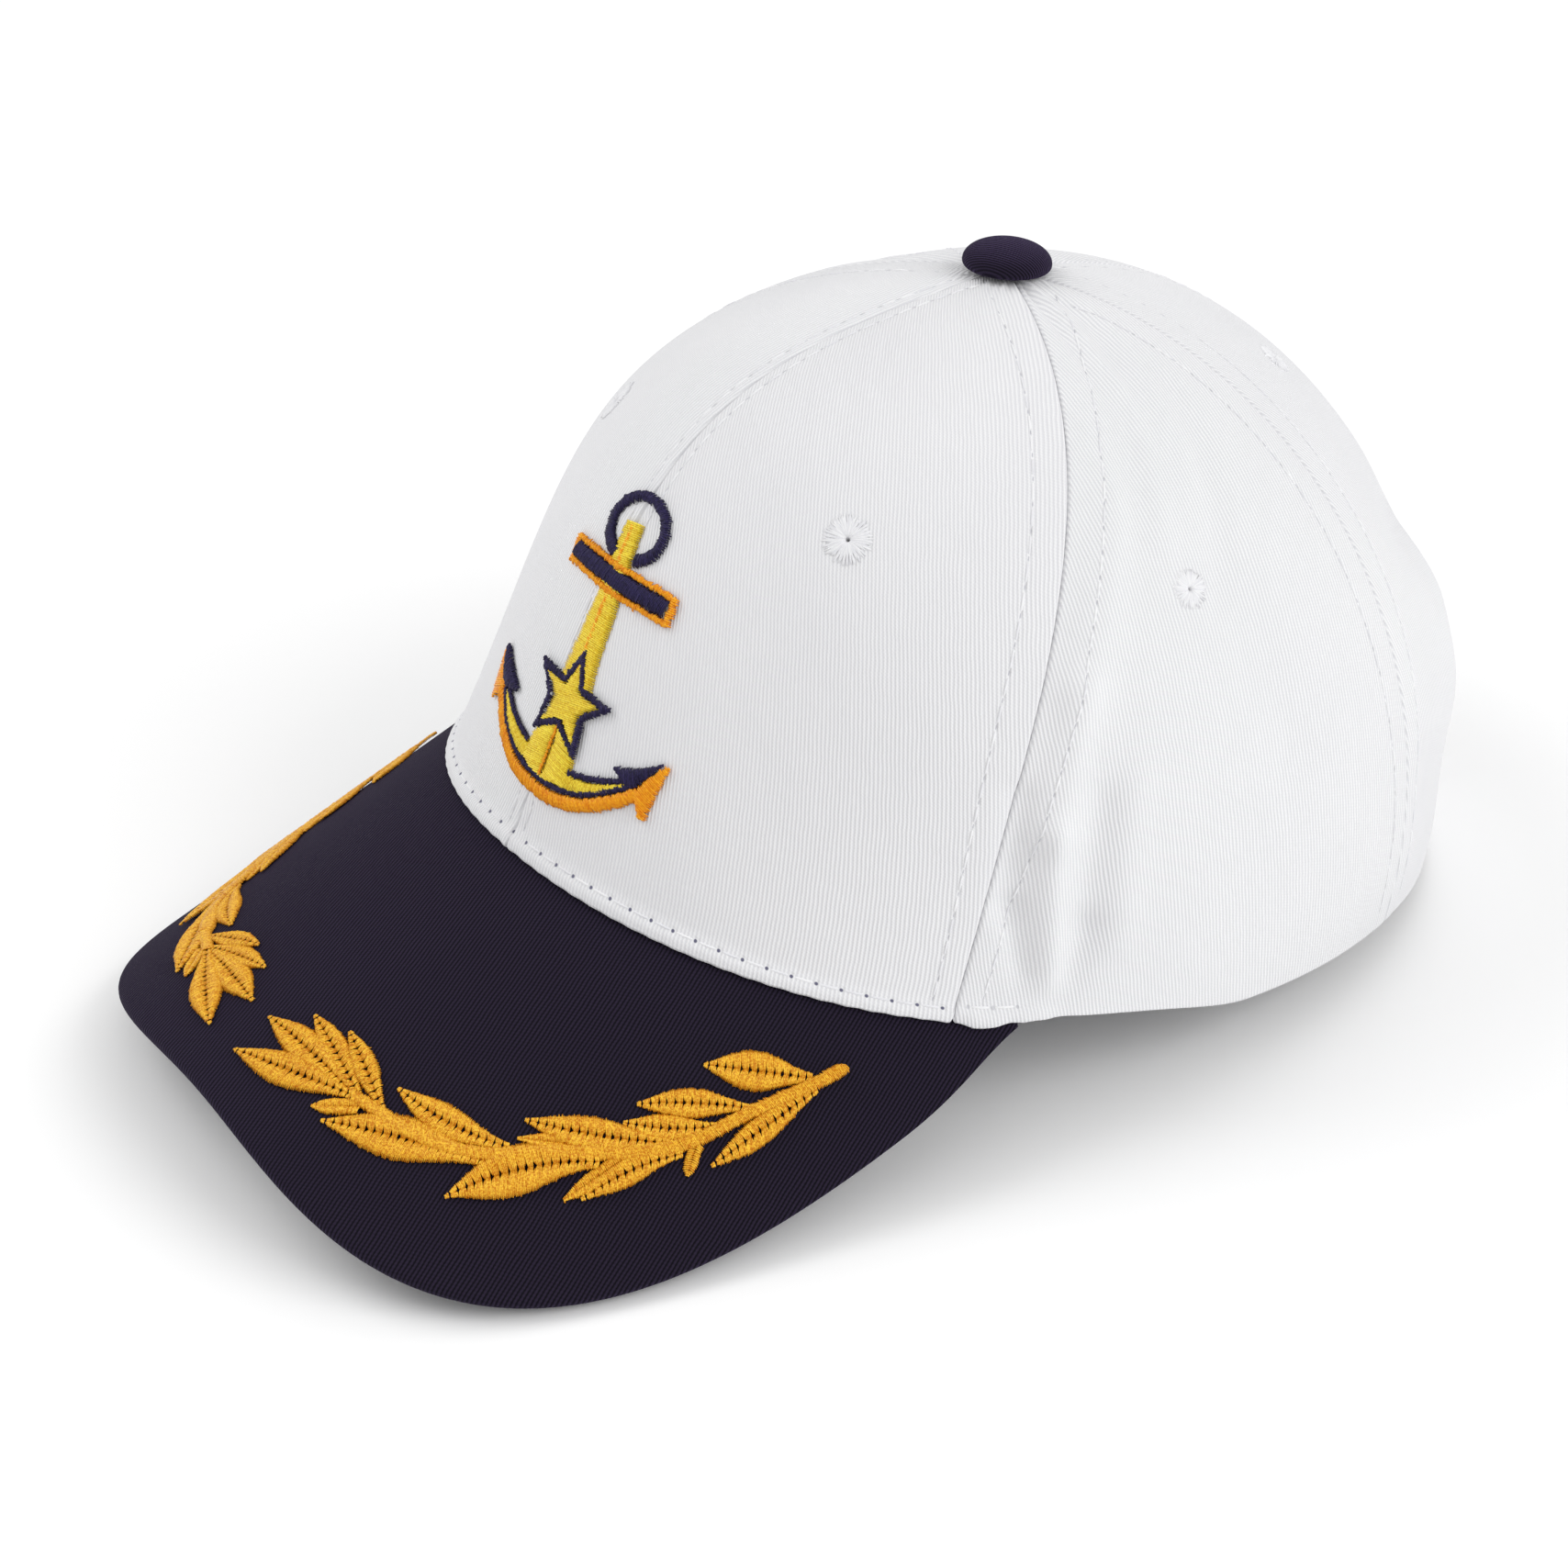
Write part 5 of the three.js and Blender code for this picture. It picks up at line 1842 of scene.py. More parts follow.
@dataclass
class StrapTab:
    """One tab of the closure strap, inside the rim on its own side and lapping over the centre."""

    side: Side
    inner: bool
    height: float = 26.0
    thickness: float = 1.3
    tuck: float = 14.0
    lap: float = 18.0

    def build(self) -> bpy.types.Object:
        """Makes the tab.

        Returns:
            The finished tab.
        """
        name = f"strap_{self.side.label}"
        long = FORM.arch_half_width + self.tuck + self.lap
        ease = (0.0, 0.8, 1.6, 2.6)
        across, up = graded(long, 1.2, ease), graded(self.height, 1.2, ease)
        tall = self.height

        def soft(middle: Vector) -> bool:
            """Whether an edge lies on the tab's border."""
            return min(middle.x, long - middle.x, middle.y, tall - middle.y) < 1e-4

        cloth = slab(across, up, self.thickness, soft, 0.45)
        pattern = pattern_of(cloth)
        move_to(cloth, FORM.settle(self.shape(pattern, long)))
        mesh = to_mesh(cloth, name)
        pattern = read_pattern(mesh)
        lay_uv(mesh, "cloth", pattern[:, :2])
        stitches = Strands()
        self.sew(stitches, long)
        sewing = show_stitches(name, stitches, WHITE_THREAD.build())
        piece = show(name, mesh, [white_twill(name, 30.0)], "white_twill", name)
        return piece

    def shape(self, pattern: Array, long: float) -> Array:
        """Bends the flat tab round the inside of the rim.

        Args:
            pattern: Places on the flat cloth.
            long: Length of the tab.

        Returns:
            The bent places.
        """
        panel_end = 180 - math.degrees((FORM.arch_half_width + self.tuck) / FORM.back)
        free_end = 180 + math.degrees(self.lap / FORM.back)
        along = panel_end + (free_end - panel_end) * pattern[..., 0] / long
        outside = -(FORM.soft_wall + FORM.rest_gap)
        behind = outside - (self.thickness + FORM.rest_gap)
        begin, done = (180 - math.degrees((self.lap + length) / FORM.back) for length in (14, 2))
        step = smooth(along, begin, done)
        lift = outside + (behind - outside) * (step if self.inner else 0.0) + pattern[..., 2]
        up = pattern[..., 1] / self.height * FORM.share_at_height(180.0, self.height)
        signed = self.side.value * along
        point = FORM.crown_point(signed, up, lift, 0.0)
        hem = FORM.crown_point(signed, np.zeros_like(up), lift, 0.0)
        level = FORM.rim_height(hem[..., 0], hem[..., 1], signed) - hem[..., 2]
        point[..., 2] += level * (1 - smooth(pattern[..., 1], 0.0, 4.0))
        return point

    def sew(self, stitches: Strands, long: float) -> None:
        """Sews a row along each of the tab's two long edges.

        Args:
            stitches: Where its threads go.
            long: Length of the tab.
        """
        margin = 2.4

        def line_at(height: float) -> Line:
            """Gives the function of a row at one height.

            Args:
                height: The row's height.

            Returns:
                The function, of lengths along the tab.
            """

            def line(along: Array) -> tuple[Array, Array]:
                """Points and normals at lengths along the tab.

                Args:
                    along: The lengths.

                Returns:
                    The points and the normals.
                """
                flat = np.stack([along, np.full_like(along, height), np.zeros_like(along)], -1)
                raised = flat + np.array([0.0, 0.0, 1.0])
                point = self.shape(flat, long)
                return point, unit(self.shape(raised, long) - point)

            return line

        for height in (margin, self.height - margin):
            topstitch(stitches, line_at(height), self.tuck * 0.2, long - margin)


@dataclass(frozen=True)
class Satin:
    """How threads lie side by side in embroidery, in millimetres."""

    pitch: float = 0.36
    radius: float = 0.195
    ragged: float = 0.13
    uneven: float = 0.035
    shortest: float = 0.3


@dataclass(frozen=True)
class LeafStitch:
    """How the columns of a leaf are sewn: breadth and bundle in millimetres, the others as shares."""

    foot: float = 0.26
    least_breadth: float = 0.4
    bundle: float = 1.55
    slit_pull: float = 0.3
    plain_pull: float = 0.06
    slant: float = 0.22


LEAF_STITCH = LeafStitch()


class Embroiderer:
    """Lays satin-stitched threads on a surface."""

    def __init__(self, surface: Surface, satin: Satin, seed: int) -> None:
        """Takes the surface that is embroidered.

        Args:
            surface: Gives a point from two lengths and a lift.
            satin: How the threads lie.
            seed: Start of the random draws.
        """
        self.surface = surface
        self.satin = satin
        self.chance = np.random.default_rng(seed)
        self.strands = Strands()

    @staticmethod
    def smoothed(path: Array, times: int = 2) -> Array:
        """Rounds the corners of a line and keeps its ends.

        Args:
            path: Rows of the line.
            times: How often each corner is cut.

        Returns:
            The rounded line.
        """
        for _ in range(times):
            a, b = path[:-1], path[1:]
            cut = np.stack([0.75 * a + 0.25 * b, 0.25 * a + 0.75 * b], 1).reshape(-1, path.shape[1])
            path = np.concatenate([path[:1], cut[1:-1], path[-1:]])
        return path

    def stations(self, path: Array) -> tuple[Array, Array]:
        """Even stations along a line.

        Args:
            path: Rows of across, along and further values.

        Returns:
            The rows at the stations and the unit directions to the left of the line.
        """
        arc = np.concatenate([[0.0], np.cumsum(np.hypot(*np.diff(path[:, :2], axis=0).T))])
        count = max(2, int(arc[-1] / self.satin.pitch))
        at = (np.arange(count) + 0.5) * arc[-1] / count
        rows = np.stack([np.interp(at, arc, path[:, k]) for k in range(path.shape[1])], -1)
        slope = np.gradient(rows[:, :2], axis=0)
        slope = slope / np.maximum(np.linalg.norm(slope, axis=1, keepdims=True), 1e-9)
        return rows, np.stack([-slope[:, 1], slope[:, 0]], -1)

    def lay(self, starts: Array, ends: Array, base: float, crest: Array, colour: int) -> None:
        """Lays threads from starts to ends, arched over the surface.

        Args:
            starts: First end of each thread.
            ends: Last end of each thread.
            base: Lift of their ends.
            crest: Rise of each one's middle over its ends.
            colour: Index of the material.
        """
        share, rise = np.array([(0.0, -0.25), (0.16, 0.75), (0.5, 1.0), (0.84, 0.75), (1.0, -0.25)]).T
        length = np.linalg.norm(ends - starts, axis=1, keepdims=True)
        along = (ends - starts) / np.maximum(length, 1e-6)
        ragged = self.chance.normal(0, self.satin.ragged, (len(starts), 2))
        starts = starts + along * ragged[:, :1]
        ends = ends + along * ragged[:, 1:]
        flat = starts[:, None] + (ends - starts)[:, None] * share[None, :, None]
        lift = base + np.broadcast_to(crest, len(starts))[:, None] * rise
        lift = lift + self.chance.normal(0, self.satin.uneven, (len(starts), 1))
        self.place(flat, lift, colour)

    def place(self, flat: Array, lift: Array, colour: int) -> None:
        """Puts threads given by flat stations and lifts on the surface.

        Args:
            flat: Two lengths for each station.
            lift: Lift of each one.
            colour: Index of the material.
        """
        points = self.surface(flat[..., 0], flat[..., 1], lift)
        raised = self.surface(flat[..., 0], flat[..., 1], lift + 1.0)
        self.strands.lay(points, unit(raised - points), self.satin.radius, colour)

    @staticmethod
    def eased_crest(crest: float, widths: Array) -> Array:
        """Rise of the threads' middles, lower where they are short."""
        return crest * np.minimum(1.0, 0.35 + widths / 3)

    def column(
        self,
        path: Sequence[tuple[float, float, float]],
        base: float,
        crest: float,
        colour: int,
        slant: float = 0.0,
    ) -> None:
        """Embroiders a satin column across a line.

        Args:
            path: Across, up and width at places along the line.
            base: Lift of the threads' ends.
            crest: Rise of their middles.
            colour: Index of the material.
            slant: Shift of one end along the line, as a share of the width.
        """
        rows, left = self.stations(self.smoothed(np.array(path, float)))
        half = rows[:, 2:3] / 2
        forward = np.stack([left[:, 1], -left[:, 0]], -1)
        starts = rows[:, :2] - left * half - forward * half * slant
        ends = rows[:, :2] + left * half + forward * half * slant
        self.lay(starts, ends, base, self.eased_crest(crest, rows[:, 2]), colour)

    def filling(
        self, corners: Sequence[tuple[float, float]], angle: float, base: float, crest: float, colour: int
    ) -> None:
        """Fills a polygon with parallel threads.

        Args:
            corners: Corners of the polygon in order.
            angle: Direction of the threads in degrees.
            base: Lift of the threads' ends.
            crest: Rise of their middles.
            colour: Index of the material.
        """
        c, s = math.cos(math.radians(angle)), math.sin(math.radians(angle))
        turned = np.array(corners, float) @ np.array([[c, -s], [s, c]])
        following = np.roll(turned, -1, axis=0)
        starts, ends = [], []
        pitch = self.satin.pitch
        for level in np.arange(turned[:, 1].min() + pitch / 2, turned[:, 1].max(), pitch):
            crossed = (turned[:, 1] > level) != (following[:, 1] > level)
            share = (level - turned[crossed, 1]) / (following[crossed, 1] - turned[crossed, 1])
            places = np.sort(turned[crossed, 0] + share * (following[crossed, 0] - turned[crossed, 0]))
            for left, right in zip(places[0::2], places[1::2]):
                if right - left > self.satin.shortest:
                    starts.append((left, level))
                    ends.append((right, level))
        back = np.array([[c, s], [-s, c]])
        starts, ends = np.array(starts) @ back, np.array(ends) @ back
        length = np.linalg.norm(ends - starts, axis=1)
        self.lay(starts, ends, base, self.eased_crest(crest, length), colour)

    def leaf(self, tip: Array, foot: Array, width: float, bow: float, base: float, slits: bool) -> None:
        """Embroiders a leaf as two satin columns that meet on its midline.

        Args:
            tip: Its tip.
            foot: Where it grows from.
            width: Its greatest width.
            bow: Bend of its midline, as a share of its length.
            base: Lift of its lowest threads.
            slits: Whether its threads gather in bundles along the midline.
        """
        run = foot - tip
        share = np.linspace(0, 1, 33)
        swing = 4 * share * (1 - share) * bow
        middle = tip + share[:, None] * run + swing[:, None] * np.array([-run[1], run[0]])
        opening = np.sin(np.pi * np.minimum(share, 0.5)) ** 1.2
        closing = 1 - (1 - (LEAF_STITCH.foot if slits else 1.0)) * smooth(share, 0.5, 1.0)
        breadth = width * (0.03 + 0.97 * opening) * closing
        rows, left = self.stations(np.column_stack([middle, breadth]))
        wide = rows[:, 2] > LEAF_STITCH.least_breadth
        rows, left = rows[wide], left[wide]
        forward = np.stack([-left[:, 1], left[:, 0]], -1)
        half, count = rows[:, 2] / 2, len(rows)
        at, bundle = np.arange(count) * self.satin.pitch, LEAF_STITCH.bundle
        pull = np.rint(at / bundle) * bundle - at
        hole = np.abs(2 * pull / bundle) ** 3 * (0.7 + 0.4 * np.sin(0.9 * at)) if slits else np.zeros(count)
        pull = pull * (LEAF_STITCH.slit_pull if slits else LEAF_STITCH.plain_pull)
        crest = np.minimum(0.5, 0.15 + 0.22 * half)[:, None]
        station, rise = np.array([(0.0, 0.25), (0.2, 0.7), (0.48, 1.0), (0.8, 0.75), (1.0, -0.15)]).T
        for sign in (1, -1):
            reach = half[:, None] * station
            reach[:, -1] += self.chance.normal(0, self.satin.ragged, count)
            reach[:, 0] = np.clip(0.7 * hole - 0.3, -half, 0.5 * half)
            gather = pull[:, None] * np.clip(1.15 - reach / 0.9, 0, 1)
            flat = rows[:, None, :2] + sign * left[:, None] * reach[..., None]
            flat = flat - forward[:, None] * (gather - LEAF_STITCH.slant * reach)[..., None]
            lift = base + crest * rise + self.chance.normal(0, self.satin.uneven, (count, 1))
            self.place(flat, lift, 0)


class AnchorColour(Enum):
    """Threads of the anchor, as material indices."""

    YELLOW = 0
    ORANGE = 1
    NAVY = 2


@dataclass(frozen=True)
class Column:
    """A satin column of the anchor, with rows of across, up and width along its line."""

    colour: AnchorColour
    base: float
    crest: float
    slant: float
    path: tuple[tuple[float, float, float], ...]

    def sew(self, work: Embroiderer) -> None:
        """Embroiders the column."""
        work.column(self.path, self.base, self.crest, self.colour.value, self.slant)


@dataclass(frozen=True)
class Filling:
    """An outline of the anchor, across and up, that is filled with threads at an angle in degrees."""

    colour: AnchorColour
    base: float
    crest: float
    angle: float
    corners: tuple[tuple[float, float], ...]

    def sew(self, work: Embroiderer) -> None:
        """Embroiders the inside of the outline."""
        work.filling(self.corners, self.angle, self.base, self.crest, self.colour.value)


YELLOW, ORANGE, DARK = AnchorColour

SHANK = (
    Column(YELLOW, 0.3, 0.45, 0.0, (
        (0.2, 63.0, 5.2), (0.9, 58.0, 5.5), (2.1, 50.5, 6.3), (2.3, 45.0, 7.1), (2.3, 40.0, 7.6),
        (2.5, 33.0, 9.4),
    )),
    Column(ORANGE, 0.6, 0.3, 0.6, (
        (0.4, 62.3, 0.9), (1.0, 57.0, 0.9), (2.1, 50.0, 0.9), (2.3, 41.0, 0.9), (2.3, 36.0, 0.9),
    )),
)

# The two long sides, their lines across the shank, the two ends and the bar
STOCK = (
    Column(ORANGE, 0.4, 0.45, 0.0, (
        (-13.3, 56.0, 1.1), (-6, 55.5, 1.0), (2, 55.1, 1.0), (9, 55.4, 1.0), (16.8, 55.9, 1.1),
    )),
    Column(ORANGE, 0.4, 0.45, 0.0, (
        (-12.7, 51.9, 1.1), (-6, 51.2, 1.0), (2, 50.6, 1.0), (9, 50.8, 1.0), (17.3, 51.5, 1.1),
    )),
    Column(ORANGE, 0.68, 0.35, 0.0, ((-2.4, 55.2, 1.0), (1.3, 55.1, 1.0), (5.0, 55.2, 1.0))),
    Column(ORANGE, 0.68, 0.35, 0.0, ((-2.2, 50.9, 1.0), (1.7, 50.6, 1.0), (5.6, 50.7, 1.0))),
    Column(ORANGE, 0.42, 0.45, 0.0, ((-12.7, 56.3, 1.6), (-12.0, 51.6, 1.6))),
    Column(ORANGE, 0.42, 0.45, 0.0, ((16.3, 56.2, 1.7), (16.9, 51.2, 1.7))),
    Column(DARK, 0.5, 0.65, 0.2, (
        (-11.9, 53.9, 3.3), (-6, 53.3, 3.4), (2, 52.85, 3.5), (9, 53.1, 3.5), (15.8, 53.7, 3.4),
    )),
)

# The two arms, the halves of the fan and its line, the bands below and the arms' upper outlines
ARMS = (
    Column(YELLOW, 0.3, 0.35, 0.35, (
        (-17.6, 24.0, 0.8), (-13, 20.6, 2.2), (-9, 18.5, 2.9), (-3.6, 17.3, 3.4),
    )),
    Column(YELLOW, 0.3, 0.35, 0.35, (
        (21.2, 22.9, 0.8), (16.5, 19.5, 1.9), (12, 17.8, 2.6), (8, 17.2, 3.2),
    )),
    Filling(YELLOW, 0.32, 0.45, 8, (
        (-4, 21.6), (-1, 24.2), (2.3, 26.2), (2.1, 15.2), (-2, 15.5), (-5.2, 16.4), (-4.6, 19),
    )),
    Filling(YELLOW, 0.32, 0.45, -8, (
        (2.3, 26.2), (5.5, 24.2), (9, 21.4), (9.1, 19), (9.4, 16.2), (5.5, 15.4), (2.1, 15.2),
    )),
    Column(ORANGE, 0.62, 0.2, 0.6, ((2.25, 25.4, 0.5), (2.1, 20, 0.5), (1.8, 15.6, 0.5))),
    Column(ORANGE, 0.3, 0.5, -0.4, (
        (-20.2, 23.4, 2.5), (-15, 18.7, 2.6), (-10, 15.5, 2.6), (-5, 13.5, 2.6), (0, 13.0, 2.6),
        (5, 12.95, 2.6), (10, 13.75, 2.6), (15, 15.8, 2.6), (20, 19.2, 2.6), (24.4, 23.2, 2.6),
    )),
    Column(DARK, 0.42, 0.4, -0.3, (
        (-18.4, 24.2, 1.1), (-15, 20.7, 1.0), (-10, 17.5, 0.95), (-5, 15.6, 0.95), (0, 14.9, 0.95),
        (5, 14.9, 0.95), (10, 15.8, 0.95), (15, 18, 0.95), (20, 21.4, 1.0), (23.2, 24.4, 1.1),
    )),
    Column(DARK, 0.4, 0.35, 0.0, ((-16.8, 24.4, 1.0), (-12, 21.9, 1.0), (-8, 20.4, 1.0), (-4.4, 19.4, 1.0))),
    Column(DARK, 0.4, 0.35, 0.0, ((8.6, 18.9, 1.0), (13, 20.0, 1.0), (17, 21.7, 1.0), (20.8, 23.6, 1.0))),
)

FLUKES = (
    Filling(ORANGE, 0.34, 0.5, 20, (
        (-25.2, 30.8), (-24.8, 27), (-24.2, 22), (-23.4, 20.3), (-21.3, 21.8), (-19.6, 22.6), (-18.4, 24.6),
        (-21.5, 27.4),
    )),
    Filling(DARK, 0.42, 0.6, 60, (
        (-24.9, 31.2), (-23.2, 31), (-21, 29.9), (-18, 28.3), (-15, 26.8), (-12.7, 25.7), (-14.5, 24.9),
        (-17.8, 24.1), (-20.6, 24.8), (-22.9, 28.2),
    )),
    Filling(ORANGE, 0.34, 0.5, -20, (
        (28.3, 30.2), (27.9, 27), (27.1, 19), (25.7, 19.1), (24, 21.4), (22.9, 23), (24.8, 26.8),
        (26.8, 29.4),
    )),
    Filling(DARK, 0.42, 0.6, -60, (
        (27.2, 30.4), (25.0, 28.6), (22.5, 27.1), (20, 25.7), (17.4, 24.8), (20.4, 23.4), (22.8, 22.8),
        (24.9, 25.9),
    )),
)


@dataclass(frozen=True)
class StarCorner:
    """A tip or a notch of the star: its outline's outer and inner corner, across and up."""

    outer: tuple[float, float]
    inner: tuple[float, float]


STAR = (
    StarCorner((2.6, 39.6), (2.6, 37.0)),
    StarCorner((5.5, 33.5), (4.9, 32.4)),
    StarCorner((13.2, 33.2), (10.9, 32.3)),
    StarCorner((8.1, 28.6), (6.7, 28.7)),
    StarCorner((9, 21.6), (7.5, 23.4)),
    StarCorner((2.35, 25.2), (2.3, 26.5)),
    StarCorner((-3.9, 22.2), (-2.9, 23.9)),
    StarCorner((-3.1, 29.0), (-1.7, 29.3)),
    StarCorner((-7.9, 34.1), (-5.8, 32.6)),
    StarCorner((-0.2, 33.4), (0.6, 32.4)),
)


@dataclass
class Anchor:
    """The anchor with its star on the front, in lengths across from the centre seam and up from the rim."""

    ring_centre: tuple[float, float] = (1.1, 62.35)
    ring_size: tuple[float, float] = (7.2, 5.65)
    ring_breadth: float = 2.4
    star_outline: float = 1.2

    def build(self) -> bpy.types.Object:
        """Embroiders the anchor.

        Returns:
            The finished embroidery.
        """
        work = Embroiderer(FORM.front_point, Satin(), seed=11)
        self.sew_ring(work)
        for part in (*SHANK, *STOCK, *ARMS, *FLUKES):
            part.sew(work)
        self.sew_star(work)
        mesh = work.strands.mesh("anchor_embroidery", seed=5)
        finishes = [YELLOW_THREAD.build(), ORANGE_THREAD.build(), NAVY_THREAD.build()]
        return show("anchor_embroidery", mesh, finishes, "anchor_thread", "anchor_embroidery")

    def sew_ring(self, work: Embroiderer) -> None:
        """Embroiders the ring at the head, open below and thinner on top.

        Args:
            work: Where its threads go.
        """
        bearing = np.radians(np.linspace(-62, 256, 42))
        across = self.ring_centre[0] + self.ring_size[0] * np.cos(bearing)
        up = self.ring_centre[1] + self.ring_size[1] * np.sin(bearing)
        breadth = self.ring_breadth - 0.6 * np.maximum(0.0, np.sin(bearing)) ** 2
        work.column(np.column_stack([across, up, breadth]), 0.3, 0.5, DARK.value, 0.25)

    def sew_star(self, work: Embroiderer) -> None:
        """Embroiders the star, its outline side by side and a column along each tip.

        Args:
            work: Where its threads go.
        """
        work.filling([corner.inner for corner in STAR], 12, 0.5, 0.4, YELLOW.value)
        share = np.linspace(0, 1, 9)[:, None]
        for here, there in zip(STAR, STAR[1:] + STAR[:1]):
            outer, inner = (
                np.array(start) + (np.array(end) - start) * share
                for start, end in ((here.outer, there.outer), (here.inner, there.inner))
            )
            middle, apart = (outer + inner) / 2, outer - inner
            along = unit(middle[-1] - middle[0])
            width = self.star_outline * np.abs(apart[:, 0] * along[1] - apart[:, 1] * along[0])
            work.column(np.column_stack([middle, width]), 0.62, 0.5, DARK.value)
        for corner in STAR[::2]:
            tip, root = np.array(corner.outer), np.array(corner.inner)
            path = [(*tip, 0.5), (*((tip + root) / 2), 1.3), (*root, 1.7)]
            work.column(path, 0.64, 0.5, DARK.value)


@dataclass(frozen=True)
class LaurelLeaf:
    """A leaf of the left spray: tip and foot in millimetres across and forward, width and bow."""

    tip: tuple[float, float]
    foot: tuple[float, float]
    width: float
    bow: float = 0.0
    layer: int = 0
    slits: bool = True


LEAVES = (
    LaurelLeaf((0.0, 59.2), (24.7, 48.3), 6.6, 0.02, 1),
    LaurelLeaf((-1.8, 51.0), (22.8, 48.3), 6.2, 0.0, 0),
    LaurelLeaf((4.6, 44.9), (26.5, 47.6), 5.2, 0.0, 0),
    LaurelLeaf((12.8, 42.2), (31.0, 45.6), 4.6, 0.0, 1),
    LaurelLeaf((21.0, 55.1), (27.4, 48.3), 3.0, 0.0, 0, False),
    LaurelLeaf((24.7, 55.1), (49.3, 35.4), 7.7, 0.0, 1),
    LaurelLeaf((28.3, 41.5), (50.2, 30.6), 5.6, 0.06, 0),
    LaurelLeaf((50.2, 44.2), (61.8, 18.4), 8.2, -0.06, 2),
    LaurelLeaf((49.3, 29.2), (61.2, 15.6), 3.3, 0.0, 0, False),
    LaurelLeaf((47.5, 26.5), (66.6, 6.1), 5.7, 0.03, 1),
    LaurelLeaf((63.0, 27.2), (63.9, 13.6), 3.1, 0.0, 0, False),
    LaurelLeaf((64.8, 24.5), (69.4, 4.8), 4.5, -0.05, 1),
    LaurelLeaf((58.4, 12.2), (69.4, -2.7), 4.6, 0.04, 0),
    LaurelLeaf((57.5, 8.8), (70.3, -8.8), 4.8, -0.02, 1),
    LaurelLeaf((73.0, 6.1), (69.4, 2.0), 2.8, 0.0, 0, False),
    LaurelLeaf((74.0, 2.0), (74.9, -21.1), 4.9, 0.0, 1),
    LaurelLeaf((59.3, -4.8), (73.0, -21.1), 6.4, 0.0, 0),
)

STEM = (
    (75.0, -27.5), (74.9, -26.5), (74.0, -21.1), (72.1, -13.6), (70.3, -6.1), (69.4, 0.7), (66.6, 8.2),
    (63.0, 14.3), (58.4, 20.4), (53.0, 27.9), (49.3, 34.0), (43.8, 39.4), (36.5, 44.2), (30.1, 46.2),
    (24.7, 48.3),
)


@dataclass
class Laurel:
    """The laurel spray on one half of the visor."""

    side: Side
    start: float
    stem_width: float = 2.4
    stem_taper: tuple[float, ...] = (0.45, 1.05, 0.92)
    lowest: float = 0.2
    layer_lift: float = 0.16

    def build(self) -> bpy.types.Object:
        """Embroiders the spray.

        Returns:
            The finished spray.
        """
        sign = self.side.value
        corner = float(FORM.visor_edge(np.array(1.0))[0])
        half_arc = FORM.visor_bend * math.asin(corner / FORM.visor_bend)
        squeeze = (half_arc - self.start) / half_arc

        def placed(point: tuple[float, float]) -> Array:
            """Place of a point of the left spray on this one."""
            return np.array([self.start + squeeze * point[0], point[1]])

        def surface(across: Array, along: Array, lift: Array) -> Array:
            """A point off the visor on this half."""
            return FORM.laurel_point(sign * across, along, lift)

        work = Embroiderer(surface, Satin(pitch=0.32, radius=0.175, ragged=0.09), seed=3 + sign)
        for leaf in LEAVES:
            base = self.lowest + self.layer_lift * leaf.layer
            work.leaf(placed(leaf.tip), placed(leaf.foot), leaf.width, leaf.bow, base, leaf.slits)
        widths = self.stem_width * np.array([*self.stem_taper, *[1.0] * (len(STEM) - len(self.stem_taper))])
        work.column([(*placed(point), width) for point, width in zip(STEM, widths)], 0.5, 0.4, 0, 0.5)
        name = f"laurel_{self.side.label}"
        return show(name, work.strands.mesh(name, 9 + sign), [GOLD_THREAD.build()], "gold_thread", name)


@dataclass(frozen=True)
class Lamp:
    """A square soft lamp that faces the cap: its place and size in metres and its power in watts."""

    name: str
    place: tuple[float, float, float]
    power: float
    size: float

    def hang(self) -> None:
        """Puts the lamp in the scene."""
        data = bpy.data.lights.new(self.name, "AREA")
        data.energy = self.power
        data.size = self.size
        lamp = bpy.data.objects.new(self.name, data)
        lamp.location = self.place
        lamp.rotation_euler = (-Vector(self.place)).to_track_quat("-Z", "Y").to_euler()
        bpy.context.scene.collection.objects.link(lamp)


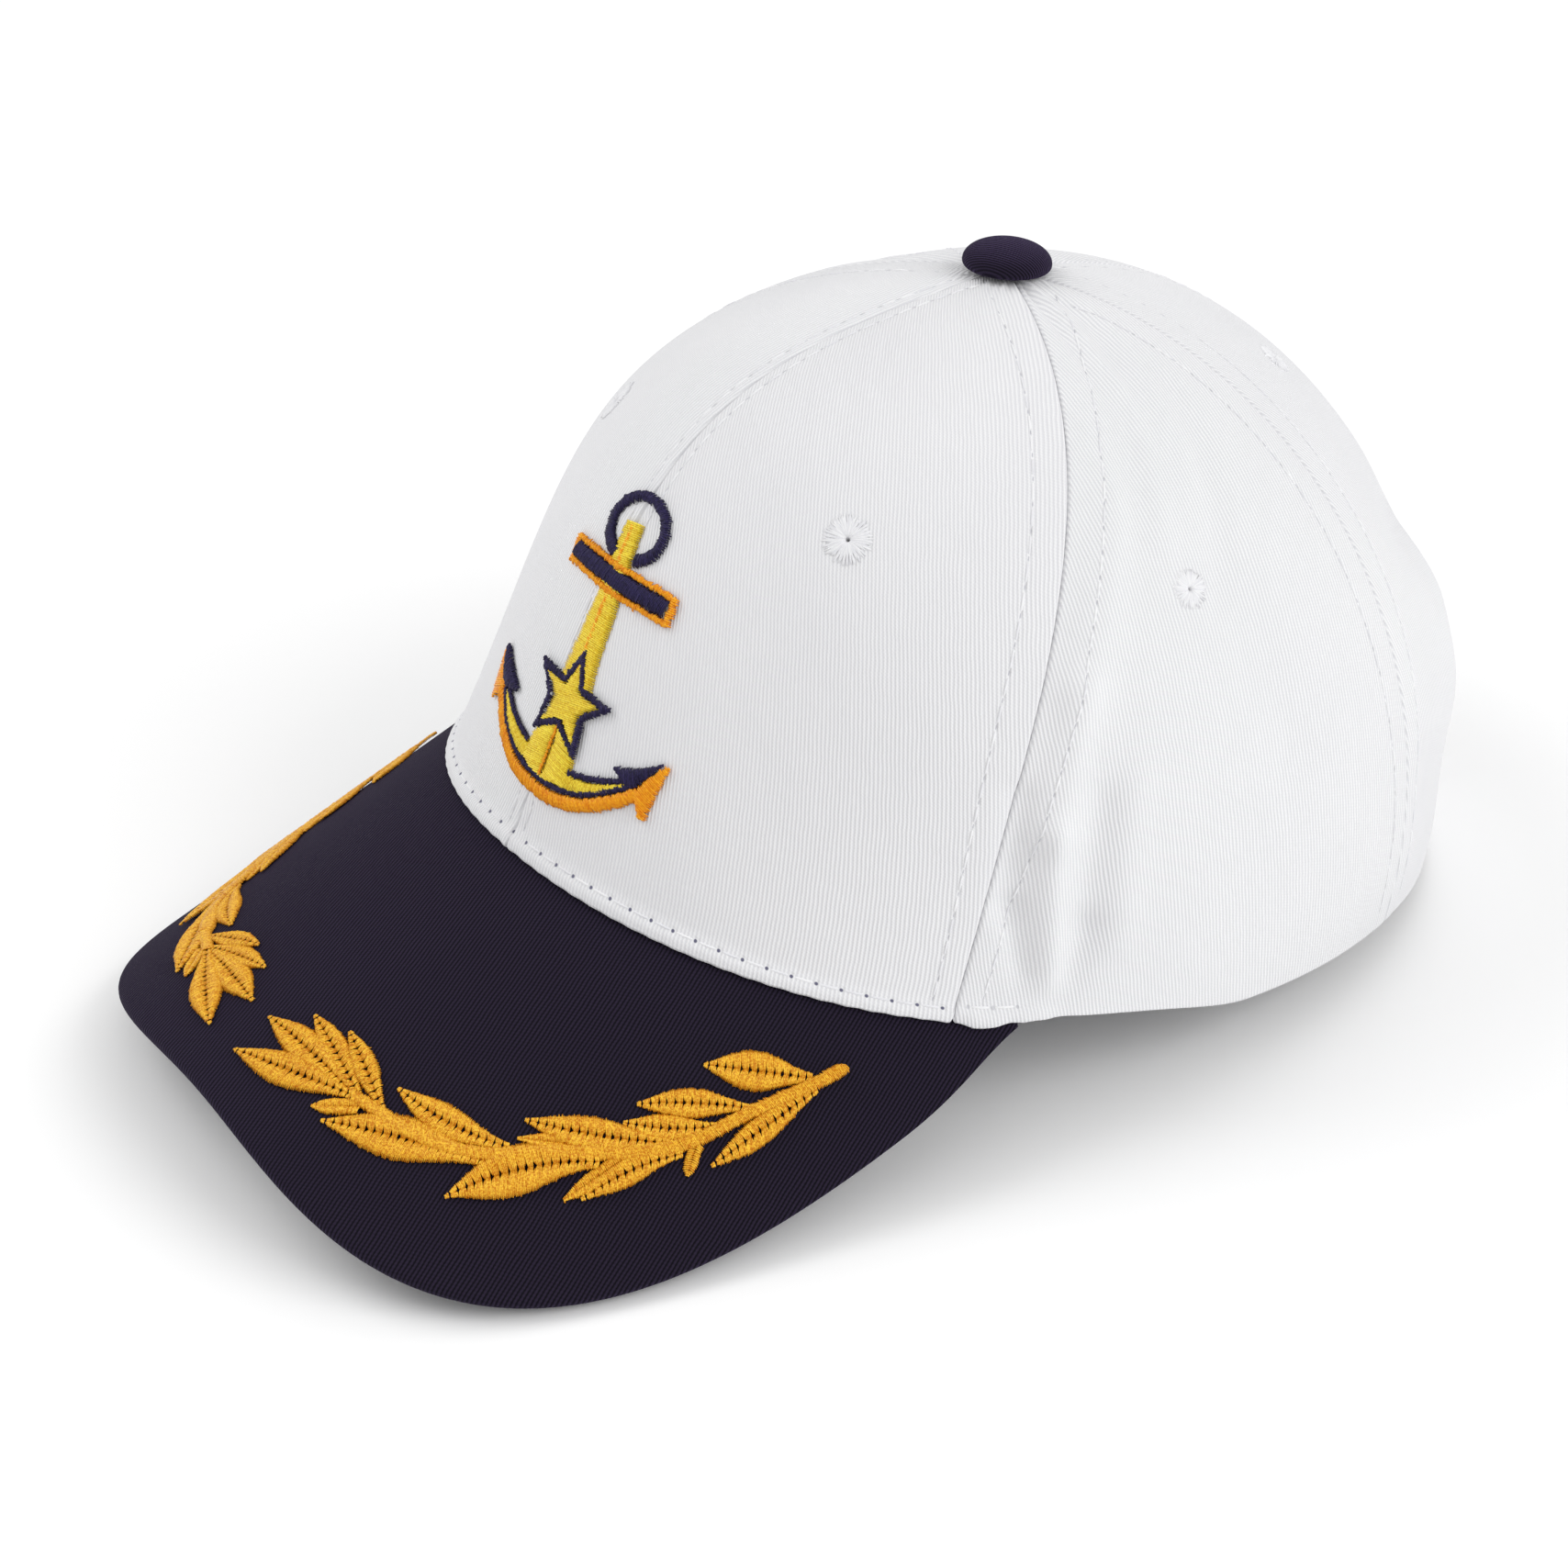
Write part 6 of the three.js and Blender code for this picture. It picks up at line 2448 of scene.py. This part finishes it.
@dataclass
class Studio:
    """The pale floor, the soft lights and the camera at the photograph's viewing angle."""

    floor_size: float = 8.0
    sky: float = 0.7
    lamps: tuple[Lamp, ...] = (
        Lamp("key", (1.7, 0.9, 1.3), 23.0, 1.5),
        Lamp("fill", (-1.45, -1.0, 1.7), 21.0, 1.6),
    )
    lens: float = 64.82
    eye: tuple[float, float, float] = (0.37351, -0.26076, 0.31594)
    right: tuple[float, float, float] = (0.57906916, 0.81462738, -0.032575)
    over: tuple[float, float, float] = (-0.42044202, 0.33262229, 0.844151)

    def build(self) -> None:
        """Sets up floor, lights and camera."""
        self.lay_floor()
        self.light()
        self.aim()

    def lay_floor(self) -> None:
        """Makes the floor."""
        sheet = bmesh.new()
        bmesh.ops.create_grid(sheet, x_segments=2, y_segments=2, size=self.floor_size / 2)
        bmesh.ops.translate(sheet, verts=sheet.verts[:], vec=(0, 0, -0.0003))
        mesh = bpy.data.meshes.new("floor")
        sheet.to_mesh(mesh)
        sheet.free()
        material, bench = new_material("pale floor")
        surface = bench.add("ShaderNodeBsdfPrincipled", Base_Color=(0.97, 0.97, 0.97, 1.0), Roughness=0.9)
        bench.add("ShaderNodeOutputMaterial", Surface=surface.outputs["BSDF"])
        mesh.materials.append(material)
        floor = bpy.data.objects.new("floor", mesh)
        bpy.context.scene.collection.objects.link(floor)

    def light(self) -> None:
        """Lights the scene from all round, with a soft key over the front."""
        world = bpy.data.worlds.new("studio")
        world.use_nodes = True
        bench = NodeBench(world.node_tree)
        sky = bench.add("ShaderNodeBackground", Color=(1.0, 1.0, 1.0, 1.0), Strength=self.sky)
        bench.add("ShaderNodeOutputWorld", Surface=sky.outputs["Background"])
        bpy.context.scene.world = world
        for lamp in self.lamps:
            lamp.hang()

    def aim(self) -> None:
        """Places the camera."""
        data = bpy.data.cameras.new("camera")
        data.lens = self.lens
        data.sensor_width = 36.0
        data.clip_start = 0.02
        camera = bpy.data.objects.new("camera", data)
        right, over = Vector(self.right), Vector(self.over)
        facing = Matrix((right, over, right.cross(over).normalized())).transposed().to_4x4()
        camera.matrix_world = Matrix.Translation(self.eye) @ facing
        bpy.context.scene.collection.objects.link(camera)
        bpy.context.scene.camera = camera
        bpy.context.scene.view_settings.view_transform = "Standard"


def main() -> None:
    """Builds the cap piece by piece."""
    logging.basicConfig(level=logging.INFO, format="%(name)s: %(message)s")
    Studio().build()
    Crown().build()
    Visor().build()
    TopButton().build()
    StrapTab(Side.LEFT, inner=False).build()
    StrapTab(Side.RIGHT, inner=True).build()
    Laurel(Side.LEFT, start=0.0).build()
    Laurel(Side.RIGHT, start=9.0).build()
    Anchor().build()


if __name__ == "__main__":
    main()
